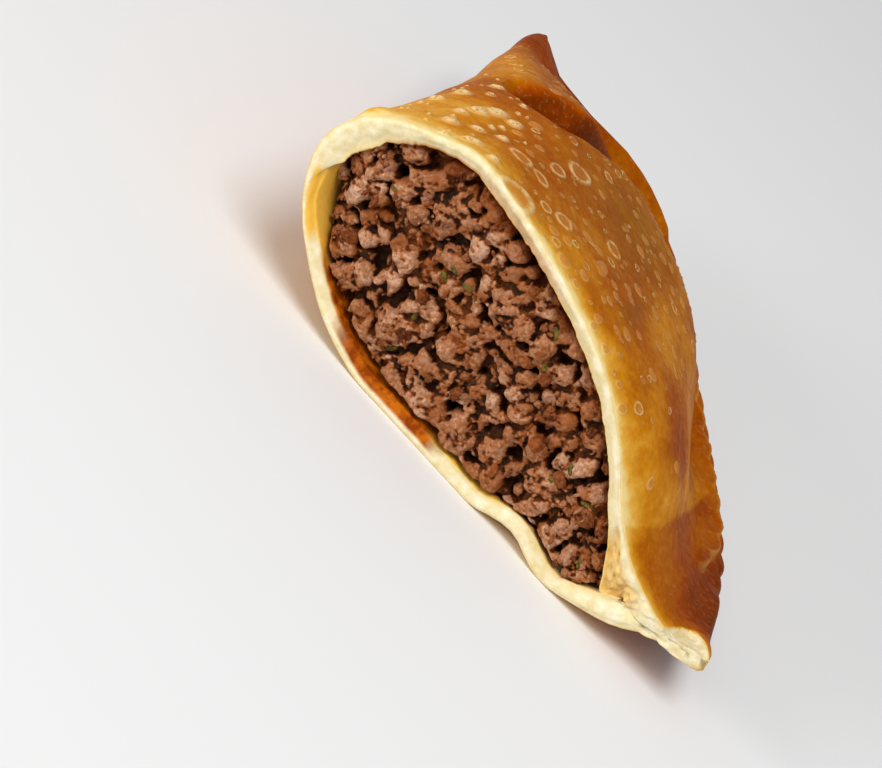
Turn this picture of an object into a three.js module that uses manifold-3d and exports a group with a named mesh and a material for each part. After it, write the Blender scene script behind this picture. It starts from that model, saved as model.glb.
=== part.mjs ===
// A fried half-moon turnover cut across the middle: one half of it, resting on its flat underside.
// Millimetres, +Z up. The cut face looks toward -Y, the folded edge is at -X, the crimped seam at +X,
// and the corner where fold and seam meet is the tip at the back.
import * as THREE from "three";
import { mergeVertices } from "three/addons/utils/BufferGeometryUtils.js";
import Module from "manifold-3d";

const wasm = await Module();
wasm.setup();

// Driving sizes
const DEPTH = 75.0; // cut face to tip
const FOLD_X = -37.0; // the folded edge at the cut face
const SEAM_RX = 74.4; // half-moon outline: radius across the cut face
const SEAM_RY = 72.0; // and along the depth
const DOUGH = 1.95; // wall of dough over the filling
const SEAM_DOUGH = 1.5; // extra wall where the two layers merge toward the seam
const FLANGE_HALF = 1.55; // half thickness of the flat sealed edge
const FIT_GAP = 0.3; // clear space between dough and filling
const CRIMP_PITCH = 5.2; // one press of the seal every so often along the edge
const FIRST_CRIMP = 16.0; // length along the edge where the presses start
const LAST_CRIMP = 84.0;
const SMALL_BLISTERS = 24;
const RINGS = 46; // cross sections from the cut face to the tip
const HOLLOW_SIDES = 11; // steps across the hollow
const HOLLOW_RINGS = 20;
const HOLLOW_END = 66.0; // depth of the hollow from the cut face
const LEAST_OPENING = 0.9; // where the two layers are closer than this they are one
const LEAST_HALF = 0.05; // half thickness of the thinnest edge of what lies in the hollow
const CUTTER = 8.0; // how far the bodies are drawn out in front of the cut face before they are cut
const CORE_BACK = 2.2; // the filling's core starts this far behind the cut face
const CORE_SKIN = 0.2; // and keeps this much more clear of the dough than its crumbs do
const CRUMB_PITCH = 4.7;
const CRUMB_ROWS = 8;
const CRUMB_COLUMNS = 15;
const WHOLE_TURN = 2 * Math.PI;

// A smooth curve through keyed values: [place, value] pairs, flat beyond both ends, no overshoot
function keyed(keys) {
  const n = keys.length;
  const slope = [];
  for (let i = 0; i < n - 1; i++) {
    slope.push((keys[i + 1][1] - keys[i][1]) / (keys[i + 1][0] - keys[i][0]));
  }
  const m = keys.map((_, i) => {
    if (i === 0) return slope[0];
    if (i === n - 1) return slope[n - 2];
    const a = slope[i - 1];
    const b = slope[i];
    return a * b <= 0 ? 0 : (2 * a * b) / (a + b);
  });
  return (p) => {
    if (p <= keys[0][0]) return keys[0][1];
    if (p >= keys[n - 1][0]) return keys[n - 1][1];
    let i = 0;
    while (p > keys[i + 1][0]) i++;
    const h = keys[i + 1][0] - keys[i][0];
    const t = (p - keys[i][0]) / h;
    const a = (1 + 2 * t) * (1 - t) * (1 - t) * keys[i][1];
    const b = t * (1 - t) * (1 - t) * h * m[i];
    const c = t * t * (3 - 2 * t) * keys[i + 1][1];
    const d = t * t * (t - 1) * h * m[i + 1];
    return a + b + c + d;
  };
}

// A repeatable number in 0..1 for a whole number and a channel
function noise(i, channel) {
  const v = Math.sin(i * 12.9898 + channel * 78.233) * 43758.5453;
  return v - Math.floor(v);
}

const clamp01 = (v) => Math.min(1, Math.max(0, v));
const mix = (a, b, t) => a + (b - a) * t;

// Top and underside of the cut face, height over the straight line from fold to seam,
// keyed by u, where the place across is s = 1 - cos(u * 90 degrees)
const TOP_RISE = keyed([
  [0, 0], [0.105, 4.1], [0.205, 7.9], [0.326, 11.75], [0.46, 15.2], [0.572, 15.3],
  [0.688, 14.2], [0.772, 12], [0.838, 8.3], [0.896, 3.4], [0.945, 1], [1, 0],
]);
const BELLY_DROP = keyed([
  [0, 0], [0.111, 3.8], [0.222, 7.8], [0.345, 11.4], [0.452, 13.7], [0.547, 14.2],
  [0.65, 12.6], [0.751, 10.75], [0.882, 7.65], [0.94, 4.6], [0.975, 2.4], [1, 0],
]);
const uOf = (s) => Math.acos(1 - clamp01(s)) / (Math.PI / 2);

// How the sections change from the cut face (0) to the tip (DEPTH)
const NOSE_X = keyed([
  [0, -37], [8, -36.5], [25, -35.3], [40, -35.4], [50, -36.3], [60, -37.2], [69, -38], [75, -36.9],
]);
const NOSE_Z = keyed([[0, 18.6], [8, 18.8], [24, 18.8], [40, 17.8], [56, 16.9], [66, 16.3], [75, 16.2]]);
const SEAM_OUT_Z = keyed([
  [0, 8.3], [3, 7.6], [8, 6.1], [15, 5.4], [35, 4.7], [48, 5.7], [57, 8.2], [61, 9.8],
  [63, 11.1], [66, 13.7], [68, 14.9], [69, 15], [70, 14.4], [71, 13.9], [72, 14.2], [75, 15.7],
]);
const SEAM_IN_Z = keyed([
  [0, 6.5], [15, 5.5], [35, 4.8], [50, 4.6], [58, 6.2], [64, 9.4], [67, 11.8], [70, 13.3], [75, 15.7],
]);
const SEAM_WIDTH = keyed([[0, 8.2], [5, 6.6], [14, 5.2], [40, 5.2], [50, 6.4], [58, 9], [64, 12], [75, 12]]);
const SEAM_WAVER = keyed([
  [0, 0], [4, -0.4], [11, -1.2], [20, -1.2], [32, -0.8], [45, -0.5], [54, 0.3], [60, 1.6], [66, 1.2], [75, 0],
]);
const DOME = keyed([
  [0, 1], [8, 0.975], [18, 0.92], [28, 0.89], [38, 0.89], [48, 0.67], [56, 0.37], [63, 0.09], [69, 0],
]);
const BELLY = keyed([
  [0, 0.985], [20, 0.98], [36, 0.93], [46, 0.8], [52, 0.64], [57, 0.45], [63, 0.2], [70, 0],
]);
const LEAN = keyed([[0, 0], [6, 0.4], [14, 0.55], [28, 0.5], [44, 0.8], [58, 0.1], [75, 0]]);
const HORN = keyed([[0, 0], [44, 0], [55, 1.0], [62, 2.3], [68, 3.0], [73.5, 3.0], [75, 2.0]]);
const THIN = keyed([[0, 1], [70, 1], [75, 0.2]]);

// One cross section: where the fold, the start of the seal and its edge are
function sectionAt(y) {
  const reach = SEAM_RX * Math.sqrt(Math.max(0, 1 - (y / SEAM_RY) ** 2));
  const ear = y > 62 ? -36.4 + 4.6 * Math.sqrt(Math.max(0, 1 - ((y - 66) / 9.1) ** 2)) : -60;
  const nose = NOSE_X(y);
  const edge = Math.max(FOLD_X + reach + SEAM_WAVER(y), ear);
  const width = SEAM_WIDTH(y);
  const innerDepth = SEAM_RY - width;
  let flat = 0.5 * (edge - nose);
  if (y < innerDepth) {
    const inner = FOLD_X + (SEAM_RX - width) * Math.sqrt(1 - (y / innerDepth) ** 2);
    flat = Math.min(flat, edge - inner);
  }
  return {
    y, nose, edge, flat,
    start: edge - flat,
    noseZ: NOSE_Z(y),
    inZ: SEAM_IN_Z(y),
    outZ: SEAM_OUT_Z(y),
    half: FLANGE_HALF * THIN(y),
    dome: DOME(y),
    belly: BELLY(y),
    lean: LEAN(y),
    horn: HORN(y),
  };
}

// The underside lies flat on z = 0, with one small fold of dough pinched up at the cut face
const PINCH_X = 10.5;
const PINCH_HALF = 6.0;
const PINCH_RISE = 1.8;
const PINCH_DEPTH = 12.0;
function pinch(x, y) {
  const across = clamp01(1 - ((x - PINCH_X) / PINCH_HALF) ** 2);
  return PINCH_RISE * (across * clamp01(1 - y / PINCH_DEPTH)) ** 2;
}

// The pleat of the top behind the bulge: where it starts for each x, how long it is and how deep
const PLEAT_START = keyed([
  [-30, 29.5], [-26, 27.9], [-22, 27.5], [-18, 32.3], [-14, 37], [-9, 40.5], [0, 43],
]);
const PLEAT_LENGTH = keyed([[-30, 8], [-25, 11], [-20, 12], [-16, 15], [-11, 22], [-4, 26]]);
const PLEAT_DEPTH = keyed([[-31, 0], [-28.5, 2.6], [-25, 4.6], [-19, 4.8], [-12, 3.6], [-5, 1.6], [2, 0]]);
function pleat(x, y) {
  const t = clamp01((y - PLEAT_START(x)) / PLEAT_LENGTH(x));
  return PLEAT_DEPTH(x) * Math.sin(Math.PI * t ** 1.6);
}

// The hollow dips under the pleat in a wider, softer trough, so that the wall keeps its strength there
const TROUGH_HALF = 3.5;
function troughUnder(x, y) {
  const dips = [-1, -0.5, 0, 0.5, 1].map((k) => pleat(x, y + k * TROUGH_HALF));
  return Math.max(...dips) - pleat(x, y);
}

// A point of the skin: side 1 is the top, -1 the underside, s runs from the fold (0) to the seal (1)
function skin(sec, s, side) {
  const x = mix(sec.nose, sec.start, s);
  const chord = mix(sec.noseZ, sec.inZ + side * sec.half, s);
  const swell = sec.lean * s * s * (1 - s);
  const rise = side > 0 ? TOP_RISE(uOf(s - swell)) * sec.dome : -BELLY_DROP(uOf(s)) * sec.belly;
  const round = Math.sqrt(1 - (1 - clamp01((x - sec.nose) / 3.2)) ** 2);
  let z = chord + rise + side * sec.horn * round * (1 - s);
  if (side > 0) z -= pleat(x, sec.y);
  else z = Math.max(z, 0) + pinch(x, sec.y);
  return new THREE.Vector3(x, sec.y, z);
}

// The upper layer of the seal is torn off at its cut end: how far back it is missing for each x
const TAB_REACH = keyed([[30.6, -1], [31.4, 1.6], [32.4, 3.9], [33.6, 5], [35, 5], [36.4, 2.6], [38, 1]]);
const TAB_STEP = 0.85;

// A point of the flat seal: f runs from its start (0) to its edge (1)
function seal(sec, f, side) {
  const x = mix(sec.start, sec.edge, f);
  const mid = mix(sec.inZ, sec.outZ, f * f * (3 - 2 * f));
  const neck = Math.exp(-(((f - 0.3) / 0.16) ** 2)) * Math.exp(-Math.max(sec.y, 0) / 4);
  const tipRound = Math.sqrt(Math.max(0, 1 - (clamp01((f - 0.72) / 0.28)) ** 2));
  const half = sec.half * (1 - 0.42 * neck) * (side > 0 ? tipRound : mix(1, tipRound, 0.6));
  const torn = side > 0 ? TAB_STEP * clamp01(TAB_REACH(x) - sec.y) : 0;
  return new THREE.Vector3(x, sec.y, mid + side * half - torn);
}

function outerLoop(y, place = y) {
  const sec = sectionAt(Math.max(y, 0));
  const loop = [];
  const top = 20;
  const under = 12;
  for (let i = 0; i <= top; i++) loop.push(skin(sec, 1 - Math.cos((i / top) * (Math.PI / 2)), 1));
  for (const f of [0.35, 0.7, 0.9, 1]) loop.push(seal(sec, f, 1));
  for (const f of [0.86, 0.5]) loop.push(seal(sec, f, -1));
  for (let i = under; i >= 1; i--) loop.push(skin(sec, 1 - Math.cos((i / under) * (Math.PI / 2)), -1));
  loop.forEach((p) => (p.y = place));
  return loop;
}

// The hollow of the dough: the skin moved inward by the wall, from where it opens to where it closes.
// The clear space moves it inward once more, for what lies in the hollow.
function hollowLoop(y, clear, count, place = y) {
  const sec = sectionAt(Math.max(y, 0));
  const wallAt = (s) => {
    const h = 0.004;
    const a = Math.max(s - h, 0.0005);
    const b = Math.min(s + h, 0.9995);
    const more = SEAM_DOUGH * clamp01((s - 0.84) / 0.14);
    const limits = [1, -1].map((side) => {
      const p = skin(sec, a, side);
      const q = skin(sec, b, side);
      const steep = Math.min(Math.hypot(1, (q.z - p.z) / (q.x - p.x)), 3.2);
      return { skinZ: mix(p.z, q.z, 0.5) - side * (DOUGH + more) * steep, step: clear * steep };
    });
    const x = mix(sec.nose, sec.start, s);
    limits[0].skinZ -= troughUnder(x, sec.y);
    const [upper, lower] = limits;
    const open = upper.skinZ - lower.skinZ;
    return { x, open, up: upper.skinZ - upper.step, down: lower.skinZ + lower.step };
  };
  const steps = 160;
  let first = -1;
  let last = -1;
  for (let i = 1; i < steps; i++) {
    const g = wallAt(i / steps);
    if (g.open < LEAST_OPENING || g.x - sec.nose < DOUGH * 0.9) continue;
    if (first < 0) first = i / steps;
    last = i / steps;
  }
  if (first < 0 || last - first < 0.12) return null;
  const left = mix(sec.nose, sec.start, first) + clear;
  const right = mix(sec.nose, sec.start, last) - clear;
  const upper = [];
  const lower = [];
  for (let i = 0; i <= count; i++) {
    const t = 0.5 - 0.5 * Math.cos((i / count) * Math.PI);
    const g = wallAt(mix(first, last, t));
    const x = mix(left, right, t);
    const mid = (g.up + g.down) / 2;
    upper.push(new THREE.Vector3(x, place, Math.max(g.up, mid + LEAST_HALF)));
    lower.push(new THREE.Vector3(x, place, Math.min(g.down, mid - LEAST_HALF)));
  }
  return [...upper, ...lower.reverse()];
}

// A closed skin over a row of loops, with a fan at each end
function loft(loops) {
  const n = loops[0].length;
  const at = [];
  for (const loop of loops) for (const p of loop) at.push(p.x, p.y, p.z);
  const index = [];
  for (let i = 0; i + 1 < loops.length; i++) {
    for (let j = 0; j < n; j++) {
      const k = (j + 1) % n;
      const a = i * n + j;
      const b = i * n + k;
      const c = (i + 1) * n + k;
      const d = (i + 1) * n + j;
      index.push(a, b, c, a, c, d);
    }
  }
  [0, loops.length - 1].forEach((i, end) => {
    const mid = new THREE.Vector3();
    loops[i].forEach((p) => mid.addScaledVector(p, 1 / n));
    const m = at.length / 3;
    at.push(mid.x, mid.y, mid.z);
    for (let j = 0; j < n; j++) {
      const a = i * n + j;
      const b = i * n + ((j + 1) % n);
      if (end === 0) index.push(b, a, m);
      else index.push(a, b, m);
    }
  });
  const geometry = new THREE.BufferGeometry();
  geometry.setAttribute("position", new THREE.Float32BufferAttribute(at, 3));
  geometry.setIndex(index);
  return geometry;
}

function solid(source, matrix) {
  const geometry = source.clone();
  if (matrix) geometry.applyMatrix4(matrix);
  geometry.deleteAttribute("normal");
  geometry.deleteAttribute("uv");
  const merged = mergeVertices(geometry, 1e-4);
  const make = (flip) => {
    const tri = new Uint32Array(merged.index.array);
    if (flip) for (let i = 0; i < tri.length; i += 3) [tri[i + 1], tri[i + 2]] = [tri[i + 2], tri[i + 1]];
    const vertProperties = new Float32Array(merged.attributes.position.array);
    return new wasm.Manifold(new wasm.Mesh({ numProp: 3, vertProperties, triVerts: tri }));
  };
  const made = make(false);
  return made.volume() < 0 ? make(true) : made;
}

function geometryOf(made) {
  const m = made.getMesh();
  const at = new Float32Array(m.numVert * 3);
  for (let i = 0; i < m.numVert; i++) {
    at.set(m.vertProperties.subarray(i * m.numProp, i * m.numProp + 3), i * 3);
  }
  const g = new THREE.BufferGeometry();
  g.setAttribute("position", new THREE.BufferAttribute(at, 3));
  g.setIndex(new THREE.BufferAttribute(new Uint32Array(m.triVerts), 1));
  g.computeVertexNormals();
  return g;
}

const places = [];
for (let i = 0; i <= RINGS; i++) places.push(DEPTH * Math.sin((i / RINGS) * (Math.PI / 2)));
places[RINGS] = DEPTH - 0.03;

const outer = solid(loft([outerLoop(0, -CUTTER), ...places.map((y) => outerLoop(y))]));

function hollow(clear) {
  const loops = [hollowLoop(0, clear, HOLLOW_SIDES, -CUTTER)];
  for (let i = 0; i <= HOLLOW_RINGS; i++) {
    const y = mix(0.6, HOLLOW_END, Math.sin((i / HOLLOW_RINGS) * (Math.PI / 2)));
    const loop = hollowLoop(y, clear, HOLLOW_SIDES);
    if (loop) loops.push(loop);
  }
  const last = loops[loops.length - 1];
  last.forEach((p) => (p.y -= clear));
  return solid(loft(loops));
}

// Blisters: low domes that stand on the skin, most of them over the top of the bulge.
// The conspicuous ones are placed by x, y and radius.
const LARGE_BLISTERS = [
  [-20.2, 10.6, 1.5], [-16.5, 2.9, 2.2], [-16.9, 11.1, 1.15], [-16.9, 17.4, 1.25], [-15.4, 23.2, 1.9],
  [-11.3, 8.8, 1.4], [-5.7, 18.3, 1.3], [-28.4, 16.9, 1.5], [-27.2, 19.8, 1.7], [-24.6, 19.6, 1.3],
  [-28.8, 7.7, 1.4], [-32.2, 22.2, 1.4],
];
function skinFrame(y, s) {
  const at = skin(sectionAt(y), s, 1);
  const along = skin(sectionAt(y + 0.4), s, 1).sub(at);
  const across = skin(sectionAt(y), s + 0.01, 1).sub(at);
  const out = new THREE.Vector3().crossVectors(across, along).normalize();
  if (out.z < 0) out.negate();
  return { at, out };
}
const blisterShape = new THREE.LatheGeometry(
  [[0, -1.3], [1, 0], [0.7, 0.78], [0, 1]].map(([r, h]) => new THREE.Vector2(r, h)),
  7,
);
const blisters = [];
function addBlister(y, s, radius, height, oval) {
  const { at, out } = skinFrame(y, s);
  const turn = new THREE.Quaternion().setFromUnitVectors(new THREE.Vector3(0, 1, 0), out);
  const size = new THREE.Vector3(radius, height, radius * oval);
  blisters.push(solid(blisterShape, new THREE.Matrix4().compose(at, turn, size)));
}
for (const [x, y, radius] of LARGE_BLISTERS) {
  const sec = sectionAt(y);
  addBlister(y, (x - sec.nose) / (sec.start - sec.nose), radius, 0.3, 0.85);
}
for (let i = 0; i < SMALL_BLISTERS; i++) {
  const y = mix(3.5, 58, Math.pow(noise(i, 1), 0.85));
  const s = mix(0.12, 0.86, noise(i, 2));
  const radius = mix(0.7, 1.1, noise(i, 3));
  addBlister(y, s, radius, mix(0.22, 0.4, noise(i, 4)), mix(0.75, 1, noise(i, 5)));
}

// Crimps: a scallop for each press of the seal, in a lower and an upper row. Each row gives the distance
// in from the edge, the lift over the middle of the seal, and the half sizes along, across and up.
const CRIMP_ROWS = [
  [1.5, -0.3, 2.9, 2.3, 1.35],
  [3.1, 0.75, 2.7, 1.9, 1.25],
];
const lobe = new THREE.SphereGeometry(1, 7, 4);
const crimps = [];
for (let length = FIRST_CRIMP; length < LAST_CRIMP; length += CRIMP_PITCH) {
  const turn = length / SEAM_RY;
  const y = SEAM_RY * Math.sin(turn);
  const sec = sectionAt(y);
  const heading = Math.atan2(SEAM_RY * Math.cos(turn), -SEAM_RX * Math.sin(turn));
  const inward = new THREE.Vector3(-Math.sin(heading), Math.cos(heading), 0);
  for (const [inset, lift, along, across, thick] of CRIMP_ROWS) {
    const at = new THREE.Vector3(sec.edge, y, sec.outZ + lift).addScaledVector(inward, inset);
    const spin = new THREE.Quaternion().setFromAxisAngle(new THREE.Vector3(0, 0, 1), heading);
    crimps.push(solid(lobe, new THREE.Matrix4().compose(at, spin, new THREE.Vector3(along, across, thick))));
  }
}

const shell = wasm.Manifold.union([outer, ...blisters, ...crimps]);
const crustSolid = shell.subtract(hollow(0)).trimByPlane([0, 1, 0], 0);

// The filling: a core that runs through the hollow, with crumbs of cooked mince standing on its cut end
const room = hollow(FIT_GAP);
const core = hollow(FIT_GAP + CORE_SKIN).trimByPlane([0, 1, 0], CORE_BACK);
const crumbs = [];
const crumbShape = new THREE.IcosahedronGeometry(1, 0);
for (let row = 0; row < CRUMB_ROWS; row++) {
  for (let column = 0; column < CRUMB_COLUMNS; column++) {
    const i = row * CRUMB_COLUMNS + column;
    const x = FOLD_X + 1 + (column + 0.5 * (row % 2) + 0.7 * (noise(i, 11) - 0.5)) * CRUMB_PITCH;
    const z = 1 + (row + 0.7 * (noise(i, 12) - 0.5)) * CRUMB_PITCH * 0.88;
    const size = mix(1.6, 3.0, Math.pow(noise(i, 13), 1.3));
    const y = mix(1.0, 3.2, noise(i, 14));
    const angles = [15, 16, 17].map((channel) => noise(i, channel) * WHOLE_TURN);
    const turn = new THREE.Quaternion().setFromEuler(new THREE.Euler(...angles));
    const shape = crumbShape.clone();
    const p = shape.attributes.position;
    for (let v = 0; v < p.count; v++) {
      const key = Math.round(p.getX(v) * 50 + p.getY(v) * 370 + p.getZ(v) * 2100) + i * 7;
      const grow = mix(0.8, 1.22, noise(key, 18));
      p.setXYZ(v, p.getX(v) * grow, p.getY(v) * grow, p.getZ(v) * grow);
    }
    const wide = mix(0.85, 1.3, noise(i, 19));
    const deep = mix(0.75, 1.1, noise(i, 20));
    const scale = new THREE.Vector3(size * wide, size, size * deep);
    crumbs.push(solid(shape, new THREE.Matrix4().compose(new THREE.Vector3(x, y, z), turn, scale)));
  }
}
const heap = wasm.Manifold.union([core, ...crumbs]).intersect(room);
const pieces = heap.decompose().sort((a, b) => b.volume() - a.volume());
const fillingSolid = pieces[0];

const crust = new THREE.Mesh(
  geometryOf(crustSolid),
  new THREE.MeshStandardMaterial({ color: 0xd9983f, roughness: 0.5 }),
);
crust.name = "crust";
const filling = new THREE.Mesh(
  geometryOf(fillingSolid),
  new THREE.MeshStandardMaterial({ color: 0x6b4636, roughness: 0.6 }),
);
filling.name = "filling";

// The origin of the part is the middle of its footprint
const half = new THREE.Group();
half.add(crust, filling);
const box = new THREE.Box3().setFromObject(half);
half.position.set(-(box.min.x + box.max.x) / 2, -(box.min.y + box.max.y) / 2, -box.min.z);

const part = new THREE.Group();
part.name = "half_turnover";
part.add(half);
export default part;
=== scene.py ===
"""A fried half-moon turnover, cut across the middle: the looks of one half over its fixed frame.

Sizes are in millimetres in the cut's own frame: x runs from the folded edge (-) to the crimped seam (+),
y from the cut face (0) to the tip, z up from the flat underside. Meshes are stored in metres.
"""
import math

import bpy
import numpy as np
from mathutils import Matrix, Vector

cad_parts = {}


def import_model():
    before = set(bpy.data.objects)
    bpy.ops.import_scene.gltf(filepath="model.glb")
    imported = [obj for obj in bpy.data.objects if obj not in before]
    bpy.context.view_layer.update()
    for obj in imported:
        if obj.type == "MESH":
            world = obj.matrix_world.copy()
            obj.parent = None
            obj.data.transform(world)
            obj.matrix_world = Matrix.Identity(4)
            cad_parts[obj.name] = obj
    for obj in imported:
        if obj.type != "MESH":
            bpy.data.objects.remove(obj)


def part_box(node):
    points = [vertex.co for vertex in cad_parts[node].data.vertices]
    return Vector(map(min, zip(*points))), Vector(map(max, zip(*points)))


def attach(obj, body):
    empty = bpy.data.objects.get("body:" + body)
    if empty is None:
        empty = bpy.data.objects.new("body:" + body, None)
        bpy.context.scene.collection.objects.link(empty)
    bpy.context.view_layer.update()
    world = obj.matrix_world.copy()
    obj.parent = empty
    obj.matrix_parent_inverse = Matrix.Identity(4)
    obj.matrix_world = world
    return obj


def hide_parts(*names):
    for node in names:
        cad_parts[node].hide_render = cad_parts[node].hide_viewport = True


MM = 0.001
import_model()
bpy.ops.object.select_all(action="DESELECT")
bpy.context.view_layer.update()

# ---------------------------------------------------------------- driving sizes, in millimetres
DEPTH = 75.0  # of the dough, from the cut to the tip
FOLD_X = -37.0
SEAM_RX = 74.4  # the seam is a quarter of an ellipse with these radii
SEAM_RY = 72.0
DOUGH = 1.95
SEAM_DOUGH = 1.5  # what the dough gains in thickness toward the seam
FLANGE_HALF = 1.55  # half the thickness of the flat seal
TIP_X = -38.0  # the farthest point of the fold, at the horn of the tip
CRIMP_PITCH = 5.2

crust_low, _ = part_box("crust")
# From the cut's own frame to the part's, in millimetres
PLACE = np.array([crust_low.x / MM - TIP_X, crust_low.y / MM, 0.0])


def world(points):
    """Cut frame in millimetres to the part's frame in metres."""
    return (np.asarray(points, float) + PLACE) * MM


# ---------------------------------------------------------------- small maths
def keyed(*keys):
    """A smooth curve through (place, value) keys, flat beyond both ends, without overshoot."""
    places, values = np.array(keys, float).T
    step = np.diff(places)
    rise = np.diff(values) / step
    slope = np.zeros(len(places))
    slope[0], slope[-1] = rise[0], rise[-1]
    before, after = rise[:-1], rise[1:]
    same = before * after > 0
    slope[1:-1][same] = 2 * before[same] * after[same] / (before[same] + after[same])

    def curve(p):
        p = np.clip(np.asarray(p, float), places[0], places[-1])
        i = np.clip(np.searchsorted(places, p, side="right") - 1, 0, len(step) - 1)
        t = (p - places[i]) / step[i]
        u = 1 - t
        ends = (1 + 2 * t) * u * u * values[i] + t * t * (3 - 2 * t) * values[i + 1]
        return ends + step[i] * (t * u * u * slope[i] - t * t * u * slope[i + 1])

    return curve


def ramp(v, low, high):
    """0 below low, 1 above high, smooth between."""
    t = np.clip((v - low) / (high - low), 0, 1)
    return t * t * (3 - 2 * t)


def hump(v, centre, width):
    return np.exp(-(((v - centre) / width) ** 2))


def lattice(cell, seed):
    """A repeatable 0..1 value for each whole-number cell."""
    v = np.sin(cell @ np.array([12.9898, 78.233, 37.719]) + seed * 4.137) * 43758.5453
    return v - np.floor(v)


def clouds(points, size, seed=0, octaves=2):
    """Smooth noise from -1 to 1 at points, with lumps of about the given size."""
    total = np.zeros(points.shape[:-1])
    weight = 0.0
    for octave in range(octaves):
        p = points / size * 2**octave + 17.3 * octave
        cell = np.floor(p)
        t = p - cell
        t = t * t * (3 - 2 * t)
        layer = np.zeros(points.shape[:-1])
        for corner in np.ndindex(2, 2, 2):
            c = np.array(corner)
            share = np.prod(np.where(c == 1, t, 1 - t), axis=-1)
            layer += share * lattice(cell + c, seed + octave)
        total += (2 * layer - 1) * 0.5**octave
        weight += 0.5**octave
    return total / weight


def granules(points, size, seed):
    """Distance to the nearest of a cloud of jittered middles: 0 at a middle, about 1 between them."""
    p = points / size
    cell = np.floor(p)
    best = np.full(p.shape[:-1], 9.0)
    for corner in np.ndindex(3, 3, 3):
        c = cell + np.array(corner) - 1
        jitter = np.stack([lattice(c, seed + k) for k in range(3)], -1)
        best = np.minimum(best, ((c + jitter - p) ** 2).sum(-1))
    return np.sqrt(best)


# ---------------------------------------------------------------- form of the pastry
# Across the cut, from the fold (0) to the seal (1): how far the top rises and the underside drops
TOP_RISE = keyed(
    (0, 0), (0.105, 4.1), (0.205, 7.9), (0.326, 11.75), (0.46, 15.2), (0.572, 15.3),
    (0.688, 14.2), (0.772, 12.0), (0.838, 8.3), (0.896, 3.4), (0.945, 1.0), (1, 0),
)
BELLY_DROP = keyed(
    (0, 0), (0.111, 3.8), (0.222, 7.8), (0.345, 11.4), (0.452, 13.7), (0.547, 14.2),
    (0.65, 12.6), (0.751, 10.75), (0.882, 7.65), (0.94, 4.6), (0.975, 2.4), (1, 0),
)
# Along the half, by y: the fold, the seam, and how much of the rise and the drop is left
NOSE_X = keyed(
    (0, -37), (8, -36.5), (25, -35.3), (40, -35.4), (50, -36.3), (60, -37.2), (69, -38), (75, -36.9),
)
NOSE_Z = keyed((0, 18.6), (8, 18.8), (24, 18.8), (40, 17.8), (56, 16.9), (66, 16.3), (75, 16.2))
SEAM_OUT_Z = keyed(
    (0, 8.3), (3, 7.6), (8, 6.1), (15, 5.4), (35, 4.7), (48, 5.7), (57, 8.2), (61, 9.8),
    (63, 11.1), (66, 13.7), (68, 14.9), (69, 15.0), (70, 14.4), (71, 13.9), (72, 14.2), (75, 15.7),
)
SEAM_IN_Z = keyed(
    (0, 6.5), (15, 5.5), (35, 4.8), (50, 4.6), (58, 6.2), (64, 9.4), (67, 11.8), (70, 13.3), (75, 15.7),
)
SEAM_WIDTH = keyed((0, 8.2), (5, 6.6), (14, 5.2), (40, 5.2), (50, 6.4), (58, 9), (64, 12), (75, 12))
SEAM_WAVER = keyed(
    (0, 0), (4, -0.4), (11, -1.2), (20, -1.2), (32, -0.8), (45, -0.5), (54, 0.3), (60, 1.6), (66, 1.2),
    (75, 0),
)
DOME = keyed(
    (0, 1), (8, 0.975), (18, 0.92), (28, 0.89), (38, 0.89), (48, 0.67), (56, 0.37), (63, 0.09), (69, 0),
)
BELLY = keyed((0, 0.985), (20, 0.98), (36, 0.93), (46, 0.8), (52, 0.64), (57, 0.45), (63, 0.2), (70, 0))
LEAN = keyed((0, 0), (6, 0.4), (14, 0.55), (28, 0.5), (44, 0.8), (58, 0.1), (75, 0))
HORN = keyed((0, 0), (44, 0), (55, 1.0), (62, 2.3), (68, 3.0), (73.5, 3.0), (75, 2.0))
THIN = keyed((0, 1), (70, 1), (75, 0.2))
# Behind this depth the outline follows an ellipse round the horn of the tip: its middle and radii
HORN_FROM = 62.0
HORN_X, HORN_Y = -36.4, 66.0
HORN_RX, HORN_RY = 4.6, 9.1

# The pleat behind the bulge: where it starts for each x, how long it is and how deep
PLEAT_START = keyed((-30, 29.5), (-26, 27.9), (-22, 27.5), (-18, 32.3), (-14, 37.0), (-9, 40.5), (0, 43))
PLEAT_LENGTH = keyed((-30, 8), (-25, 11), (-20, 12), (-16, 15), (-11, 22), (-4, 26))
PLEAT_DEPTH = keyed((-31, 0), (-28.5, 2.6), (-25, 4.6), (-19, 4.8), (-12, 3.6), (-5, 1.6), (2, 0))
PLEAT_SOFT = 0.07  # how far the crease at its far end is rounded, as a share of its length

# The underside is pinched in below the cut end: where, how wide, how high and how far back
PINCH_X = 10.5
PINCH_HALF = 6.0
PINCH_RISE = 1.8
PINCH_DEPTH = 12.0


def arc_of(s):
    """The evenly curving place u for a place s across, with s = 1 - cos(u * 90 degrees)."""
    return np.arccos(1 - np.clip(s, 0, 1)) / (math.pi / 2)


def across(u):
    return 1 - np.cos(u * math.pi / 2)


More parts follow.
